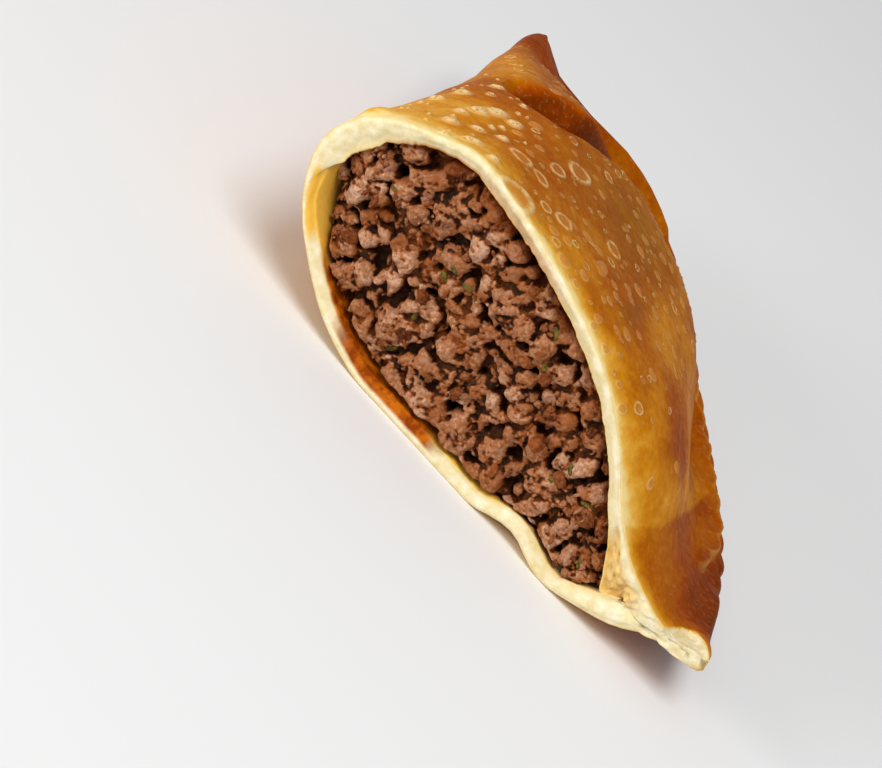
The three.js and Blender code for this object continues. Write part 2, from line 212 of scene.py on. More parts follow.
def section(y):
    """The values that give the form of the cross-section at y, by name."""
    y = np.maximum(np.asarray(y, float), 0)
    reach = SEAM_RX * np.sqrt(np.maximum(0, 1 - (y / SEAM_RY) ** 2))
    horn_edge = HORN_X + HORN_RX * np.sqrt(np.maximum(0, 1 - ((y - HORN_Y) / HORN_RY) ** 2))
    nose = NOSE_X(y)
    edge = np.maximum(FOLD_X + reach + SEAM_WAVER(y), np.where(y > HORN_FROM, horn_edge, -np.inf))
    width = SEAM_WIDTH(y)
    inner_depth = SEAM_RY - width
    inner = FOLD_X + (SEAM_RX - width) * np.sqrt(np.maximum(0, 1 - (y / inner_depth) ** 2))
    flat = 0.5 * (edge - nose)
    flat = np.where(y < inner_depth, np.minimum(flat, edge - inner), flat)
    return {
        "y": y, "nose": nose, "edge": edge, "start": edge - flat,
        "nose_z": NOSE_Z(y), "in_z": SEAM_IN_Z(y), "out_z": SEAM_OUT_Z(y),
        "half": FLANGE_HALF * THIN(y), "dome": DOME(y), "belly": BELLY(y),
        "lean": LEAN(y), "horn": HORN(y),
    }


def pleat(x, y):
    """How far the top is pressed down by the pleat."""
    left = 1 - np.clip((y - PLEAT_START(x)) / PLEAT_LENGTH(x), 0, 1)
    t = 1 - (np.hypot(left, PLEAT_SOFT) - PLEAT_SOFT) / (math.hypot(1, PLEAT_SOFT) - PLEAT_SOFT)
    return PLEAT_DEPTH(x) * np.sin(math.pi * t**1.6)


def skin(sec, s, side):
    """Points of the skin: side 1 is the top, -1 the underside, s from the fold (0) to the seal (1)."""
    x = sec["nose"] + (sec["start"] - sec["nose"]) * s
    chord = sec["nose_z"] + (sec["in_z"] + side * sec["half"] - sec["nose_z"]) * s
    round_off = np.sqrt(1 - (1 - np.clip((x - sec["nose"]) / 3.2, 0, 1)) ** 2)
    z = chord + side * sec["horn"] * round_off * (1 - s)
    if side > 0:
        z = z + TOP_RISE(arc_of(s - sec["lean"] * s * s * (1 - s))) * sec["dome"] - pleat(x, sec["y"])
    else:
        z = np.maximum(z - BELLY_DROP(arc_of(s)) * sec["belly"], 0)
        near = np.clip(1 - ((x - PINCH_X) / PINCH_HALF) ** 2, 0, 1)
        near = near * np.clip(1 - sec["y"] / PINCH_DEPTH, 0, 1)
        z = z + PINCH_RISE * near**2
    return np.stack(np.broadcast_arrays(x, sec["y"], z), -1)


def seal(sec, f, side):
    """Points of the flat seal: f from its start (0) to its edge (1)."""
    x = sec["start"] + (sec["edge"] - sec["start"]) * f
    mid = sec["in_z"] + (sec["out_z"] - sec["in_z"]) * f * f * (3 - 2 * f)
    neck = hump(f, 0.3, 0.16) * np.exp(-sec["y"] / 4)
    tip_round = np.sqrt(np.maximum(0, 1 - np.clip((f - 0.72) / 0.28, 0, 1) ** 2))
    half = sec["half"] * (1 - 0.42 * neck) * (tip_round if side > 0 else 1 + 0.6 * (tip_round - 1))
    return np.stack(np.broadcast_arrays(x, sec["y"], mid + side * half), -1)


# ---------------------------------------------------------------- the grid of the crust
TOP_COLUMNS = 284
SEAL_COLUMNS = 36
UNDER_COLUMNS = 66
RIM_ROWS = 18
INNER_ROWS = 24
ROW_STEPS = ((26.0, 0.27), (50.0, 0.36), (DEPTH - 0.2, 0.8))  # up to each depth, the rows are this far apart
INNER_LIP = 0.5  # how far the inner edge of the cut dough stands back
HOLLOW_END = 66.0  # how far back the hollow is looked for
LEAST_ROOM = 0.9  # the hollow has closed where its height is less
LEAST_SPAN = 0.12  # and where less than this share of the way across is open
STEEPEST = 3.2  # the dough is no thicker, up and down, than this many times its own thickness
THICKER_FROM, THICKER_OVER = 0.84, 0.14  # the place across where the dough thickens, and over how much

TOP_S = across(np.linspace(0, 1, TOP_COLUMNS, endpoint=False))
SEAL_F = np.linspace(0, 1, SEAL_COLUMNS, endpoint=False)
UNDER_F = np.linspace(1, 0, SEAL_COLUMNS // 2, endpoint=False)
UNDER_S = across(np.linspace(1, 0, UNDER_COLUMNS, endpoint=False))
COLUMNS = len(TOP_S) + len(SEAL_F) + len(UNDER_F) + len(UNDER_S)
UPPER = len(TOP_S) + len(SEAL_F)  # the columns before this one face up


def outer_loops(y):
    """Rows of points round the pastry, one for each y: over the top, out along the seal, back below."""
    sec = {key: value[:, None] for key, value in section(y).items()}
    return np.concatenate(
        [skin(sec, TOP_S, 1), seal(sec, SEAL_F, 1), seal(sec, UNDER_F, -1), skin(sec, UNDER_S, -1)], axis=1
    )


def wall_at(sec, s):
    """Top and bottom of the hollow at the place s across, from the skin moved inward by the dough."""
    h = 0.004
    a, b = np.maximum(s - h, 0.0005), np.minimum(s + h, 0.9995)
    dough = DOUGH + SEAM_DOUGH * np.clip((s - THICKER_FROM) / THICKER_OVER, 0, 1)
    limits = []
    for side in (1, -1):
        p, q = skin(sec, a, side), skin(sec, b, side)
        steep = np.minimum(np.hypot(1, (q[..., 2] - p[..., 2]) / (q[..., 0] - p[..., 0])), STEEPEST)
        limits.append((p[..., 2] + q[..., 2]) / 2 - side * dough * steep)
    return sec["nose"] + (sec["start"] - sec["nose"]) * s, limits[0], limits[1]


def hollow_loop(y):
    """One row of the inner wall, a point for each column of the outer one, or None where it has closed."""
    sec = section(y)
    s = np.linspace(0, 1, 161)[1:-1]
    x, up, down = wall_at(sec, s)
    open_here = (up - down > LEAST_ROOM) & (x - sec["nose"] > DOUGH * 0.9)
    if not open_here.any():
        return None
    first, last = s[open_here][0], s[open_here][-1]
    if last - first < LEAST_SPAN:
        return None
    outer = outer_loops(np.array([y]))[0]
    share = np.clip((outer[:, 0] - sec["nose"]) / (sec["start"] - sec["nose"]), 0, 1)
    half_way = np.arange(COLUMNS) < UPPER
    even = np.where(half_way, np.arange(COLUMNS) / UPPER, (COLUMNS - np.arange(COLUMNS)) / (COLUMNS - UPPER))
    t = 0.93 * np.clip((share - first) / (last - first), 0, 1) + 0.07 * even
    place = first + (last - first) * np.clip(t, 0, 1)
    x, up, down = wall_at(sec, place)
    mid = (up + down) / 2
    closing = np.sqrt(np.clip(np.minimum(t, 1 - t) / 0.04, 0, 1))
    half = np.maximum((up - down) / 2, 0.02) * closing
    z = np.where(half_way, mid + half, mid - half)
    return np.stack([x, np.full(COLUMNS, float(y)), z], -1)


# ---------------------------------------------------------------- blisters of the frying
# Conspicuous ones, by kind: x, y, radius, how much longer than wide, turn in degrees
BLISTERS = {
    "ring": [
        (-20.2, 10.6, 1.5, 1.1, 20), (-16.5, 1.3, 2.5, 1.3, 60), (-16.9, 11.1, 1.15, 1.15, 0),
        (-16.9, 17.4, 1.05, 1.5, 70), (-15.4, 23.2, 1.6, 1.5, 70), (-13.7, 6.6, 0.85, 1.2, 40),
        (-11.3, 8.8, 1.25, 1.25, 60), (-9.7, 3.1, 0.8, 1.0, 0), (-8.4, 7.7, 0.6, 1.0, 0),
        (-5.7, 18.3, 1.3, 1.0, 0), (-4.6, 15.0, 0.7, 1.1, 0),
    ],
    "dome": [
        (-7.5, 2.2, 1.0, 1.2, 30), (-5.4, 9.8, 0.5, 1.0, 0), (-4.9, 4.8, 0.8, 1.0, 0),
        (-4.5, 10.8, 0.9, 1.9, 100), (-1.0, 15.7, 0.85, 1.0, 0), (-4.0, 27.5, 0.85, 1.1, 0),
        (-2.0, 34.5, 0.85, 1.0, 0), (-8.3, 12.9, 0.9, 1.2, 0), (-23.4, 17.5, 0.7, 1.0, 0),
        (-23.1, 23.4, 0.9, 1.2, 60), (-6.5, 13.5, 0.7, 1.2, 0), (-10.4, 11.0, 0.6, 1.2, 0),
        (-2.2, 11.5, 0.65, 1.1, 0), (0.2, 14.5, 0.7, 1.2, 0), (-0.3, 19.2, 0.8, 1.2, 0),
        (-1.0, 7.7, 0.6, 1.1, 0), (2.2, 5.6, 0.6, 1.2, 0), (4.0, 11.0, 0.6, 1.1, 0),
        (6.2, 16.4, 0.6, 1.2, 0),
    ],
    "crust": [
        (-29.5, 13.5, 0.9, 1.4, 60), (-28.4, 16.9, 1.2, 1.6, 60), (-27.2, 19.8, 1.4, 1.5, 60),
        (-24.6, 19.6, 1.1, 1.3, 60), (-26.2, 10.5, 1.0, 1.3, 60), (-28.8, 7.7, 1.2, 1.3, 60),
        (-23.6, 12.4, 0.9, 1.3, 60), (-33.1, 16.7, 1.1, 1.2, 60), (-32.2, 22.2, 1.2, 1.3, 60),
        (-30.6, 29.5, 0.9, 1.5, 30), (-24.9, 4.4, 1.3, 1.6, 60), (-21.5, 2.6, 0.9, 1.3, 60),
    ],
    "bulge": [(-34.9, 2.4, 2.1, 1.4, 60)],
}
BLISTER_HEIGHT = {"ring": 0.2, "dome": 0.3, "crust": 0.38, "bulge": 0.8}
BLISTER_KIND = {"ring": 0.0, "dome": 0.5, "crust": 1.0, "bulge": 0.5}
NO_BLISTER = 2.0
SMALL_BLISTERS = 620
LOWER_BLISTERS = 90


def draws(count, seed):
    """Repeatable numbers in 0..1, one row for each thing."""
    rows, columns = np.meshgrid(np.arange(count), np.arange(8), indexing="ij")
    return lattice(np.stack([rows, columns, np.zeros_like(rows)], -1).astype(float), seed)


def seeded_blisters():
    """Small blisters strewn over the top, larger flat ones below: x, y, radius, stretch, turn, kind, side."""
    made = []
    taken = [(x, y, radius * stretch) for rows in BLISTERS.values() for x, y, radius, stretch, _ in rows]
    for q in draws(SMALL_BLISTERS, seed=3.0):
        y = 1.2 + 62 * q[0] ** 1.15
        sec = section(y)
        x = sec["nose"] + (sec["start"] - sec["nose"]) * (0.03 + 0.85 * q[1])
        kind = "crust" if x < -21 - 3 * q[7] and y < 37 else ("dome" if q[4] < 0.7 else "ring")
        calm = max(ramp(x, 7, 15), 0.45 * ramp(y, 38, 46))  # the flank over the seam and the tip are smoother
        radius = 0.3 + 0.5 * q[2] ** 2
        crowded = any(math.hypot(x - a, y - b) < reach + 1.3 * radius for a, b, reach in taken)
        if q[5] < 0.9 * calm or pleat(x, y) > 0.02 or crowded:
            continue
        taken.append((x, y, radius))
        made.append((x, y, radius, 1 + 0.4 * q[3], 180 * q[6], kind, 1))
    for q in draws(LOWER_BLISTERS, seed=5.0):
        y = 2 + 62 * q[0]
        sec = section(y)
        x = sec["nose"] + (sec["start"] - sec["nose"]) * (0.02 + 0.9 * q[1])
        kind = "ring" if q[4] < 0.5 else "dome"
        made.append((x, y, 0.8 + 1.1 * q[2] ** 2, 1 + 0.4 * q[3], 180 * q[6], kind, -1))
    return made


def blister_relief(points, normals, upper, places):
    """Height over the skin, how far out each point is in its nearest blister (1 at the lip), and its kind."""
    height = np.zeros(points.shape[:-1])
    radial = np.full_like(height, NO_BLISTER)
    kinds = np.zeros_like(height)
    grain = clouds(points, 0.55, seed=11)
    placed = [(*blister, kind, 1) for kind, rows in BLISTERS.items() for blister in rows]
    for x, y, radius, stretch, turn, kind, side in placed + seeded_blisters():
        sec = section(y)
        s = (x - sec["nose"]) / (sec["start"] - sec["nose"])
        centre = skin(sec, np.array(s), side)
        reach = 2.2 * radius * stretch
        first, last = np.searchsorted(places, [y - reach, y + reach])
        block = slice(first, last)
        gap = points[block] - centre
        near = (np.abs(gap).max(-1) < reach) & (upper[block] if side > 0 else ~upper[block])
        if not near.any():
            continue
        gap = gap[near]
        nearest = np.argmin((gap**2).sum(-1))
        n = normals[block][near][nearest]
        right = np.cross(n, [0.0, -1.0, 0.0])
        right /= np.linalg.norm(right)
        ahead = np.cross(n, right)
        a = math.radians(turn)
        u, v = gap @ right, gap @ ahead
        along, wide = u * math.cos(a) + v * math.sin(a), v * math.cos(a) - u * math.sin(a)
        t = np.hypot(along / stretch, wide) / radius
        t = t * (1 + 0.045 * np.sin(3 * np.arctan2(wide, along) + 7 * x)) + (gap @ n) ** 2 / 6
        local = grain[block][near]
        bowl = 1 - ramp(t, 0.35, 0.95)
        top = BLISTER_HEIGHT[kind] * min(1.0, 0.45 + 0.5 * radius)
        if kind == "ring":
            rise = hump(t, 0.86, 0.22) + bowl * (0.25 + 0.8 * np.maximum(local, 0))
        elif kind in ("dome", "bulge"):
            rise = 1 - ramp(t, 0.1, 1.15)
        else:
            rise = bowl * (0.9 + 0.5 * local)
        held = height[block]
        held[near] += top * rise
        if kind == "bulge":
            continue
        out, kind_out = radial[block], kinds[block]
        closer = near.copy()
        closer[near] = t < out[near]
        out[closer] = t[closer[near]]
        kind_out[closer] = BLISTER_KIND[kind]
    return height, radial, kinds


# ---------------------------------------------------------------- crimps of the seam
FRILL_START = 19.0
FRILL_END = 66.0
FRILL_INSET = 2.5  # how far the upper flap ends inside the edge
FRILL_STEP = 1.15  # how high it stands over the lower one
# Where a light crease runs, as the flank bends out to the seal, by x; a painted highlight runs along it
RIDGE_Y = keyed((11, 21.5), (14.4, 19.8), (16.6, 18.7), (19, 18.2), (22.2, 18.4))


def along_seam(y):
    """Length along the seam from the cut, near enough for spacing the crimps."""
    return SEAM_RY * np.arcsin(np.clip(y / SEAM_RY, 0, 1)) * (SEAM_RX + SEAM_RY) / (2 * SEAM_RY)


def scallop(length, pitch):
    return np.abs(np.sin(math.pi * length / pitch)) ** 0.6


def frill(points, sec_edge, sec_start, upper):
    """How the flat seal shifts in x and z where the upper flap stands over the lower one, and its lines."""
    x, y = points[..., 0], points[..., 1]
    length = along_seam(y)
    on = ramp(y, FRILL_START - 3, FRILL_START + 9) * (1 - ramp(y, FRILL_END, FRILL_END + 5))
    slant = np.clip(np.cos(np.arcsin(np.clip(y / SEAM_RY, 0, 0.985))), 0.17, 1)
    inset = (sec_edge - x) * slant
    outer = scallop(length, CRIMP_PITCH)
    reach = 1 - ramp(inset, 0.0, 3.2)
    out = on * reach * (0.95 * outer - 0.75)
    flap = FRILL_INSET + 2.4 * (1 - ramp(y, FRILL_START - 2, FRILL_START + 10))
    flap = flap + 0.4 - 0.95 * scallop(length + 1.6, CRIMP_PITCH)
    beyond = inset - flap
    step = ramp(beyond, -0.18, 0.22)
    cover = ramp(y, FRILL_START - 2, FRILL_START + 2) * (1 - ramp(y, FRILL_END - 4, FRILL_END + 2))
    over = step * np.exp(-np.maximum(beyond, 0) / 3.0) - 0.45 * (1 - step)
    lift = np.where(upper, cover * FRILL_STEP * over, 0)
    groove = np.where(upper, -0.35 * on * (1 - outer) * reach, 0.25 * on * (1 - outer) * reach)
    line = np.where(upper, cover * hump(beyond, 0.1, 0.3), 0) + 0.6 * on * (1 - ramp(inset, 0, 0.5))
    flat_part = x > sec_start - 1.5
    return np.where(flat_part, out, 0), np.where(flat_part, lift + groove, 0), np.where(flat_part, line, 0)


# ---------------------------------------------------------------- meshes
# In metres: points nearer than the first become one, and edges shorter than the second go
MERGED = 2e-7
TOO_SHORT = 1e-8


def select_only(obj):
    bpy.ops.object.select_all(action="DESELECT")
    obj.select_set(True)
    bpy.context.view_layer.objects.active = obj


def add_mask(obj, name, values):
    attribute = obj.data.attributes.new(name, "FLOAT", "POINT")
    attribute.data.foreach_set("value", np.asarray(values, np.float32).ravel())


def capped(*parts):
    """The rows of all parts, with a pole in the middle of the first row and of the last."""
    rows = np.concatenate(parts)
    poles = [np.broadcast_to(rows[i].mean(0), rows[:1].shape) for i in (0, -1)]
    return np.concatenate([poles[0], rows, poles[1]])


def wrapped_grid(name, rows, masks):
    """A grid rolled into a tube with a pole at each end: rows of points, with masks as attributes."""
    count, around = rows.shape[:2]
    bpy.ops.mesh.primitive_grid_add(x_subdivisions=around, y_subdivisions=count - 1, size=1)
    obj = bpy.context.object
    obj.name = name
    flat = np.concatenate([rows, rows[:, :1]], axis=1).reshape(-1, 3)
    obj.data.vertices.foreach_set("co", world(flat).ravel())
    for key, values in masks.items():
        add_mask(obj, key, np.concatenate([values, values[:, :1]], axis=1))
    bpy.ops.object.mode_set(mode="EDIT")
    bpy.ops.mesh.select_all(action="SELECT")
    bpy.ops.mesh.remove_doubles(threshold=MERGED)
    bpy.ops.mesh.dissolve_degenerate(threshold=TOO_SHORT)
    bpy.ops.mesh.normals_make_consistent(inside=False)
    bpy.ops.object.mode_set(mode="OBJECT")
    bpy.ops.object.shade_smooth()
    return obj


def grid_normals(rows):
    around = np.roll(rows, -1, axis=1) - np.roll(rows, 1, axis=1)
    along = np.gradient(rows, axis=0)
    n = np.cross(around, along)
    return n / np.maximum(np.linalg.norm(n, axis=-1, keepdims=True), 1e-9)


# The torn tab at the cut end of the seal: how far back from the cut the upper layer is missing, for each x
TAB_REACH = keyed((30.6, -1), (31.4, 1.6), (32.4, 3.9), (33.6, 4.8), (34.8, 3.8), (36, 1.4), (38, -1))
TAB_START = 30.6
TAB_STEP = 0.85

# Where the layers part at the seam, the upper one is torn and hangs down: how far, for each x
TORN_DROP = keyed((17.5, 0), (19.5, 0.8), (21.5, 2.0), (23, 2.6), (30, 2.6))
TORN_DEPTH = 2.6


def torn_down(inner):
    """The inner wall with the upper layer hanging down into the wedge at the cut end of the seam."""
    x, y, z = np.moveaxis(inner, -1, 0)
    sec = section(y)
    s = np.clip((x - sec["nose"]) / (sec["start"] - sec["nose"]), 0.001, 0.999)
    _, _, down = wall_at(sec, s)
    share = np.exp(-(((y - INNER_LIP) / TORN_DEPTH) ** 2))
    over = np.maximum(z - down, 0)
    left = np.maximum(over - TORN_DROP(x) * share, np.minimum(over, 0.12))
    left = left * (1 - ramp(x, 21.4, 23.6) * share) + 0.02 * np.minimum(over, 1) * share
    upper = np.arange(COLUMNS) < UPPER
    return np.where(upper[None, :, None], np.stack([x, y, np.where(over > 0, down + left, z)], -1), inner)


def rim_of(inner_edge, outer_edge, whole_edge):
    """Rows of the cut dough from the inner edge to the skin, and each point's share of the way."""
    k = np.linspace(0, 1, RIM_ROWS + 2)[1:-1, None, None]
    rim = inner_edge + (outer_edge - inner_edge) * k
    share = np.broadcast_to(k[..., 0], rim.shape[:2])
    length = np.cumsum(np.linalg.norm(np.diff(outer_edge, axis=0, prepend=outer_edge[:1]), axis=1))
    run = np.broadcast_to(length, share.shape)
    streaks = np.stack([run / 2.6, 3.2 * share, 0 * share], -1)
    crumbly = ramp(rim[..., 0], 19, 25)
    sides = ramp(np.minimum(share, 1 - share), 0, 0.2)
    relief = 0.13 * clouds(streaks, 1.0, seed=7) + (0.05 + 0.4 * crumbly) * clouds(rim, 1.3, seed=8)
    relief += (0.03 + 0.22 * crumbly) * clouds(rim, 0.6, seed=9)
    rim[..., 1] += relief * sides - 0.3 * ramp(share, 0.1, 0.6) * (1 - ramp(share, 0.75, 1.0))
    gone = np.linalg.norm(whole_edge - inner_edge, axis=-1) / np.linalg.norm(outer_edge - inner_edge, axis=-1)
    torn = ramp(gone - share, 0.0, 0.16) * ramp(gone, 0.1, 0.25)
    wedge = ramp(rim[..., 0], 18, 20) * (1 - ramp(rim[..., 0], 25, 28)) * (1 - ramp(share, 0.6, 0.85))
    torn = np.maximum(torn, wedge * (np.arange(COLUMNS) < UPPER))
    rough = 1.5 * (granules(rim, 1.2, seed=81) - 0.5) + 0.7 * (granules(rim, 0.6, seed=83) - 0.5)
    rim[..., 1] += torn * (0.6 + rough) * sides
    return rim, share, torn


def dressed_skin(places):
    """The skin with its blisters, crimps and bare tab: rows of points and their masks."""
    outer = outer_loops(places)
    x, y, z = np.moveaxis(outer, -1, 0)
    normals = grid_normals(outer)
    upper = np.broadcast_to(np.arange(COLUMNS) < UPPER, x.shape)
    sec = section(places)
    edge, start = sec["edge"][:, None], sec["start"][:, None]

    relief, blister, kind = blister_relief(outer, normals, upper, places)
    lumps = 0.28 * clouds(outer, 11, seed=1) + 0.09 * clouds(outer, 3.4, seed=2)
    fine = 0.025 * clouds(outer, 0.9, seed=4)
    resting = ramp(z, 0.0, 1.2)
    height = relief * np.maximum(resting, 0.15) + (lumps + fine) * resting
    points = outer + normals * height[..., None]
    dx, dz, line = frill(outer, edge, start, upper)
    points[..., 0] += dx
    points[..., 2] += dz
    ridge = np.where(upper, hump(y, RIDGE_Y(x), 0.5), 0) * ramp(x, 13, 16) * (1 - ramp(x, 20.5, 22.6))
    points += normals * (0.2 * ridge)[..., None]
    torn = TAB_REACH(x) + 0.5 * clouds(outer, 1.2, seed=31) - y
    on_tab = upper & (x > TAB_START)
    bare = np.where(on_tab, ramp(torn, 0, 0.4), 0)
    points[..., 2] -= bare * (TAB_STEP + 0.25 * clouds(outer, 1.0, seed=32))
    points[..., 2] = np.maximum(points[..., 2], 0)
    points[0, :, 1] = 0
    return points, {
        "cut": bare * (1 - ramp(edge - x, 0.9, 0.1)),
        "across": 1 - 0.45 * bare,
        "blister": blister,
        "kind": kind,
        # The ridge adds a painted highlight to the pale lines of the crimps.
        "line": np.maximum(line, 0.7 * ridge),
        "browning_and_shade": -0.45 * np.where(on_tab, ramp(torn, -1.0, 0.2), 0),
    }


def inner_wall():
    """Rows of the inner wall from its far end to the cut, and the last row as it is without the tear."""
    loops = [hollow_loop(INNER_LIP + HOLLOW_END * t**1.7) for t in np.linspace(0, 1, INNER_ROWS)]
    inner = np.array([loop for loop in loops[::-1] if loop is not None])
    ragged = clouds(inner, 1.1, seed=41) * 0.22 + clouds(inner, 0.5, seed=42) * 0.14
    at_nose = 1 - ramp(inner[..., 0], -32, -27)
    ragged += at_nose * (2.0 * ramp(inner[..., 2], 15.8, 18.6) - 0.5)
    toward = inner.mean(1, keepdims=True) - inner
    toward /= np.linalg.norm(toward, axis=-1, keepdims=True)
    inner = inner + toward * (ragged * np.exp(-(inner[..., 1] - INNER_LIP) / 1.5))[..., None]
    return torn_down(inner), inner[-1]


def crust_shell():
    """The open shell: the inner wall up to the cut, the rim of the cut, and the skin back to the tip."""
    starts = [0.0] + [end for end, _ in ROW_STEPS]
    runs = [np.arange(start, end, step) for start, (end, step) in zip(starts, ROW_STEPS)]
    skin_points, of_skin = dressed_skin(np.concatenate(runs + [[DEPTH - 0.03]]))
    inner, whole_edge = inner_wall()
    rim, share, torn_rim = rim_of(inner[-1], skin_points[0], whole_edge)
    rows = capped(inner, rim, skin_points)
    on_wall = slice(1, 1 + len(inner))
    on_rim = slice(on_wall.stop, on_wall.stop + RIM_ROWS)

    def full(inner_value, rim_value, skin_value):
        out = np.zeros(rows.shape[:2])
        out[: on_wall.stop] = inner_value
        out[on_rim] = rim_value
        out[on_rim.stop : -1] = skin_value
        out[-1] = out[-2]
        return out

    inside = full(1, 0.6 * torn_rim, 0)
    inside[on_wall] = 1 - 0.7 * ramp(inner[..., 0], 4, 12)
    masks = {
        "cut": full(1, 1, of_skin["cut"]),
        "across": full(0, share, of_skin["across"]),
        "blister": full(NO_BLISTER, NO_BLISTER, of_skin["blister"]),
        "kind": full(0, 0, of_skin["kind"]),
        "line": full(0, 0, of_skin["line"]),
    }
    masks.update(tone_masks(rows))
    masks["browning_and_shade"] = np.clip(masks["browning_and_shade"] + full(0, 0, of_skin["browning_and_shade"]), 0, 1)
    # The fat stains the inner wall, spots of the torn rim, and at the fold nothing but the inside
    stain = masks["stain"]
    soaked = ramp(inner[..., 1], 0.7, 2.6) * ramp(inner[..., 0], -31, -28) * (1 - ramp(inner[..., 0], 15, 18))
    stain[on_wall] = np.maximum(stain[on_wall], soaked)
    bits = 0.35 * ramp(clouds(rim, 0.9, seed=85), 0.1, 0.35) * torn_rim
    only_inside = ramp(rim[..., 0], -18, -23) * ramp(share, 0.02, 0.25)
    stain[on_rim] = np.maximum(stain[on_rim], bits) * (1 - only_inside)
    ochre = (1 - ramp(rows[..., 0], -31, -29)) * ramp(rows[..., 2], 7, 9) * (1 - ramp(rows[..., 2], 15, 16.5))
    ochre = ochre * (1 - ramp(masks["across"], 0.6, 0.85)) * (masks["cut"] > 0.5)
    masks["inside"] = np.maximum(inside, ochre)
    return wrapped_grid("crust_shell", rows, masks)


# The upper edge of the darker flank over the seam, by y
FACET_EDGE = keyed((0, 18.9), (1.3, 19.7), (4.4, 21.0), (8.4, 22.0), (16.6, 22.4), (24, 22.6))


def tone_masks(rows):
    """Where the frying left the skin darker or paler, painted shade in the pleat, and where the filling
    stained the dough.
    """
    x, y, z = rows[..., 0], rows[..., 1], rows[..., 2]
    browning_and_shade = 0.47 + 0.13 * clouds(rows, 14, seed=21) + 0.1 * clouds(rows, 5, seed=22)
    browning_and_shade += 0.28 * ramp(y, 24, 60) - 0.2 * ramp(x, -26, -14) * ramp(y, 48, 58)
    # Painted shade: the skin in the pleat's valley is made browner where the valley lies in shade.
    pleat_shade = ramp(pleat(x, y - 1.0), 0.1, 3.6) * ramp(z, 7, 11) * (1 - 0.85 * ramp(x, -15, -6))
    browning_and_shade += 0.5 * pleat_shade + 0.24 * ramp(x, 26.5, 31) * ramp(y, 3, 8) * (1 - ramp(y, 36, 50))
    browning_and_shade -= 0.22 * hump(x, -36, 6) * ramp(y, 30, 42) * (1 - ramp(y, 60, 68))
    reach = 1.5 + 1.1 * clouds(rows, 6, seed=23)
    browning_and_shade -= 0.55 * np.exp(-np.maximum(y, 0) / np.maximum(reach, 0.5))
    browning_and_shade -= 0.2 * hump(x, -31, 9) * (1 - ramp(y, 16, 30))
    browning_and_shade += 0.22 * hump(x, 2, 7) * hump(y, 12, 5) + 0.2 * hump(x, -3, 6) * hump(y, 24, 8)
    browning_and_shade += 0.28 * hump(y, RIDGE_Y(x) - 5.5, 5.0) * ramp(x, 6, 13) * (1 - ramp(x, 18, 21))
    facet_edge = FACET_EDGE(y)
    lower_facet = ramp(x, facet_edge - 0.1, facet_edge + 0.4) * (1 - ramp(y, 30, 38))
    browning_and_shade += (0.14 + 0.14 * ramp(y, 6, 14)) * lower_facet
    browning_and_shade += 0.1 * hump(x, 7.0, 4) * hump(y, 8, 4)
    browning_and_shade += 0.16 * hump(x, -24, 9) * ramp(y, 3, 8) * (1 - ramp(y, 34, 44)) * ramp(z, 12, 16)
    browning_and_shade -= 0.16 * hump(x, facet_edge - 3.2, 2.6) * (1 - ramp(y, 8, 16))
    drift = 3 * clouds(rows, 3.0, seed=24)
    along_fold = ramp(x + drift, -30, -24) * (1 - ramp(x + drift, -5, -1)) * (1 - ramp(z, 10, 15))
    stain = 1.5 * along_fold
    stain += 0.8 * hump(x, -26, 5) * ramp(z, 22, 25) + 0.5 * hump(x, -12, 9) * ramp(z, 18, 22)
    tan = hump(x, -7, 8) * hump(y, 31, 12) + 0.8 * hump(x, 1.6, 1.2) * hump(y, 13.5, 5)
    return {"browning_and_shade": np.clip(browning_and_shade, 0, 1), "stain": np.clip(stain, 0, 1), "tan": np.clip(tan, 0, 1)}


# ---------------------------------------------------------------- minced filling
CLEAR = 0.35  # space between the filling and the dough
FACE_STEP = 0.17
FACE_LEVELS = 150
FACE_BACK = 7.4
CORE_FRONT = 6.6
CORE_ROWS = 34
CORE_RINGS = 22
CRUMB_STEP = 2.0
LOOSE_CRUMBS = 34
LOOSE_GRAINS = 240
HERB_FLECKS = 14
SLIVERS = 230
# Crumbs that stand out: x, z, radius, tone from 0 (dark) to 1 (pale), warmth
CRUMBS = [
    (-2.1, 4.6, 2.3, 0.55, 0.3), (2.3, 6.4, 1.9, 0.5, 0.2), (5.7, 15.5, 1.35, 0.55, 1.0),
    (9.3, 8.4, 2.2, 0.6, 0.25), (10.2, 12.1, 1.2, 0.75, 0.2), (-8.4, 4.0, 1.6, 0.7, 0.35),
    (-9.8, 11.1, 1.5, 0.65, 0.1), (-16.2, 7.8, 2.1, 0.6, 0.2), (-12.5, 3.2, 1.2, 0.4, 0.0),
    (-26.1, 20.5, 1.6, 0.75, 0.1), (-23.1, 20.0, 1.3, 0.55, 0.1), (-23.0, 9.9, 1.5, 0.65, 0.1),
    (-15.0, 22.7, 1.6, 0.8, 0.0), (-29.7, 21.0, 1.3, 0.8, 0.8), (-26.7, 10.5, 1.2, 0.7, 0.8),
    (-5.3, 19.9, 1.5, 0.6, 0.2), (-2.1, 20.0, 1.6, 0.6, 0.3), (-9.4, 20.6, 1.5, 0.55, 0.3),
    (14.5, 12.2, 1.2, 0.8, 0.7), (20.5, 7.0, 1.5, 0.5, 0.1),
]
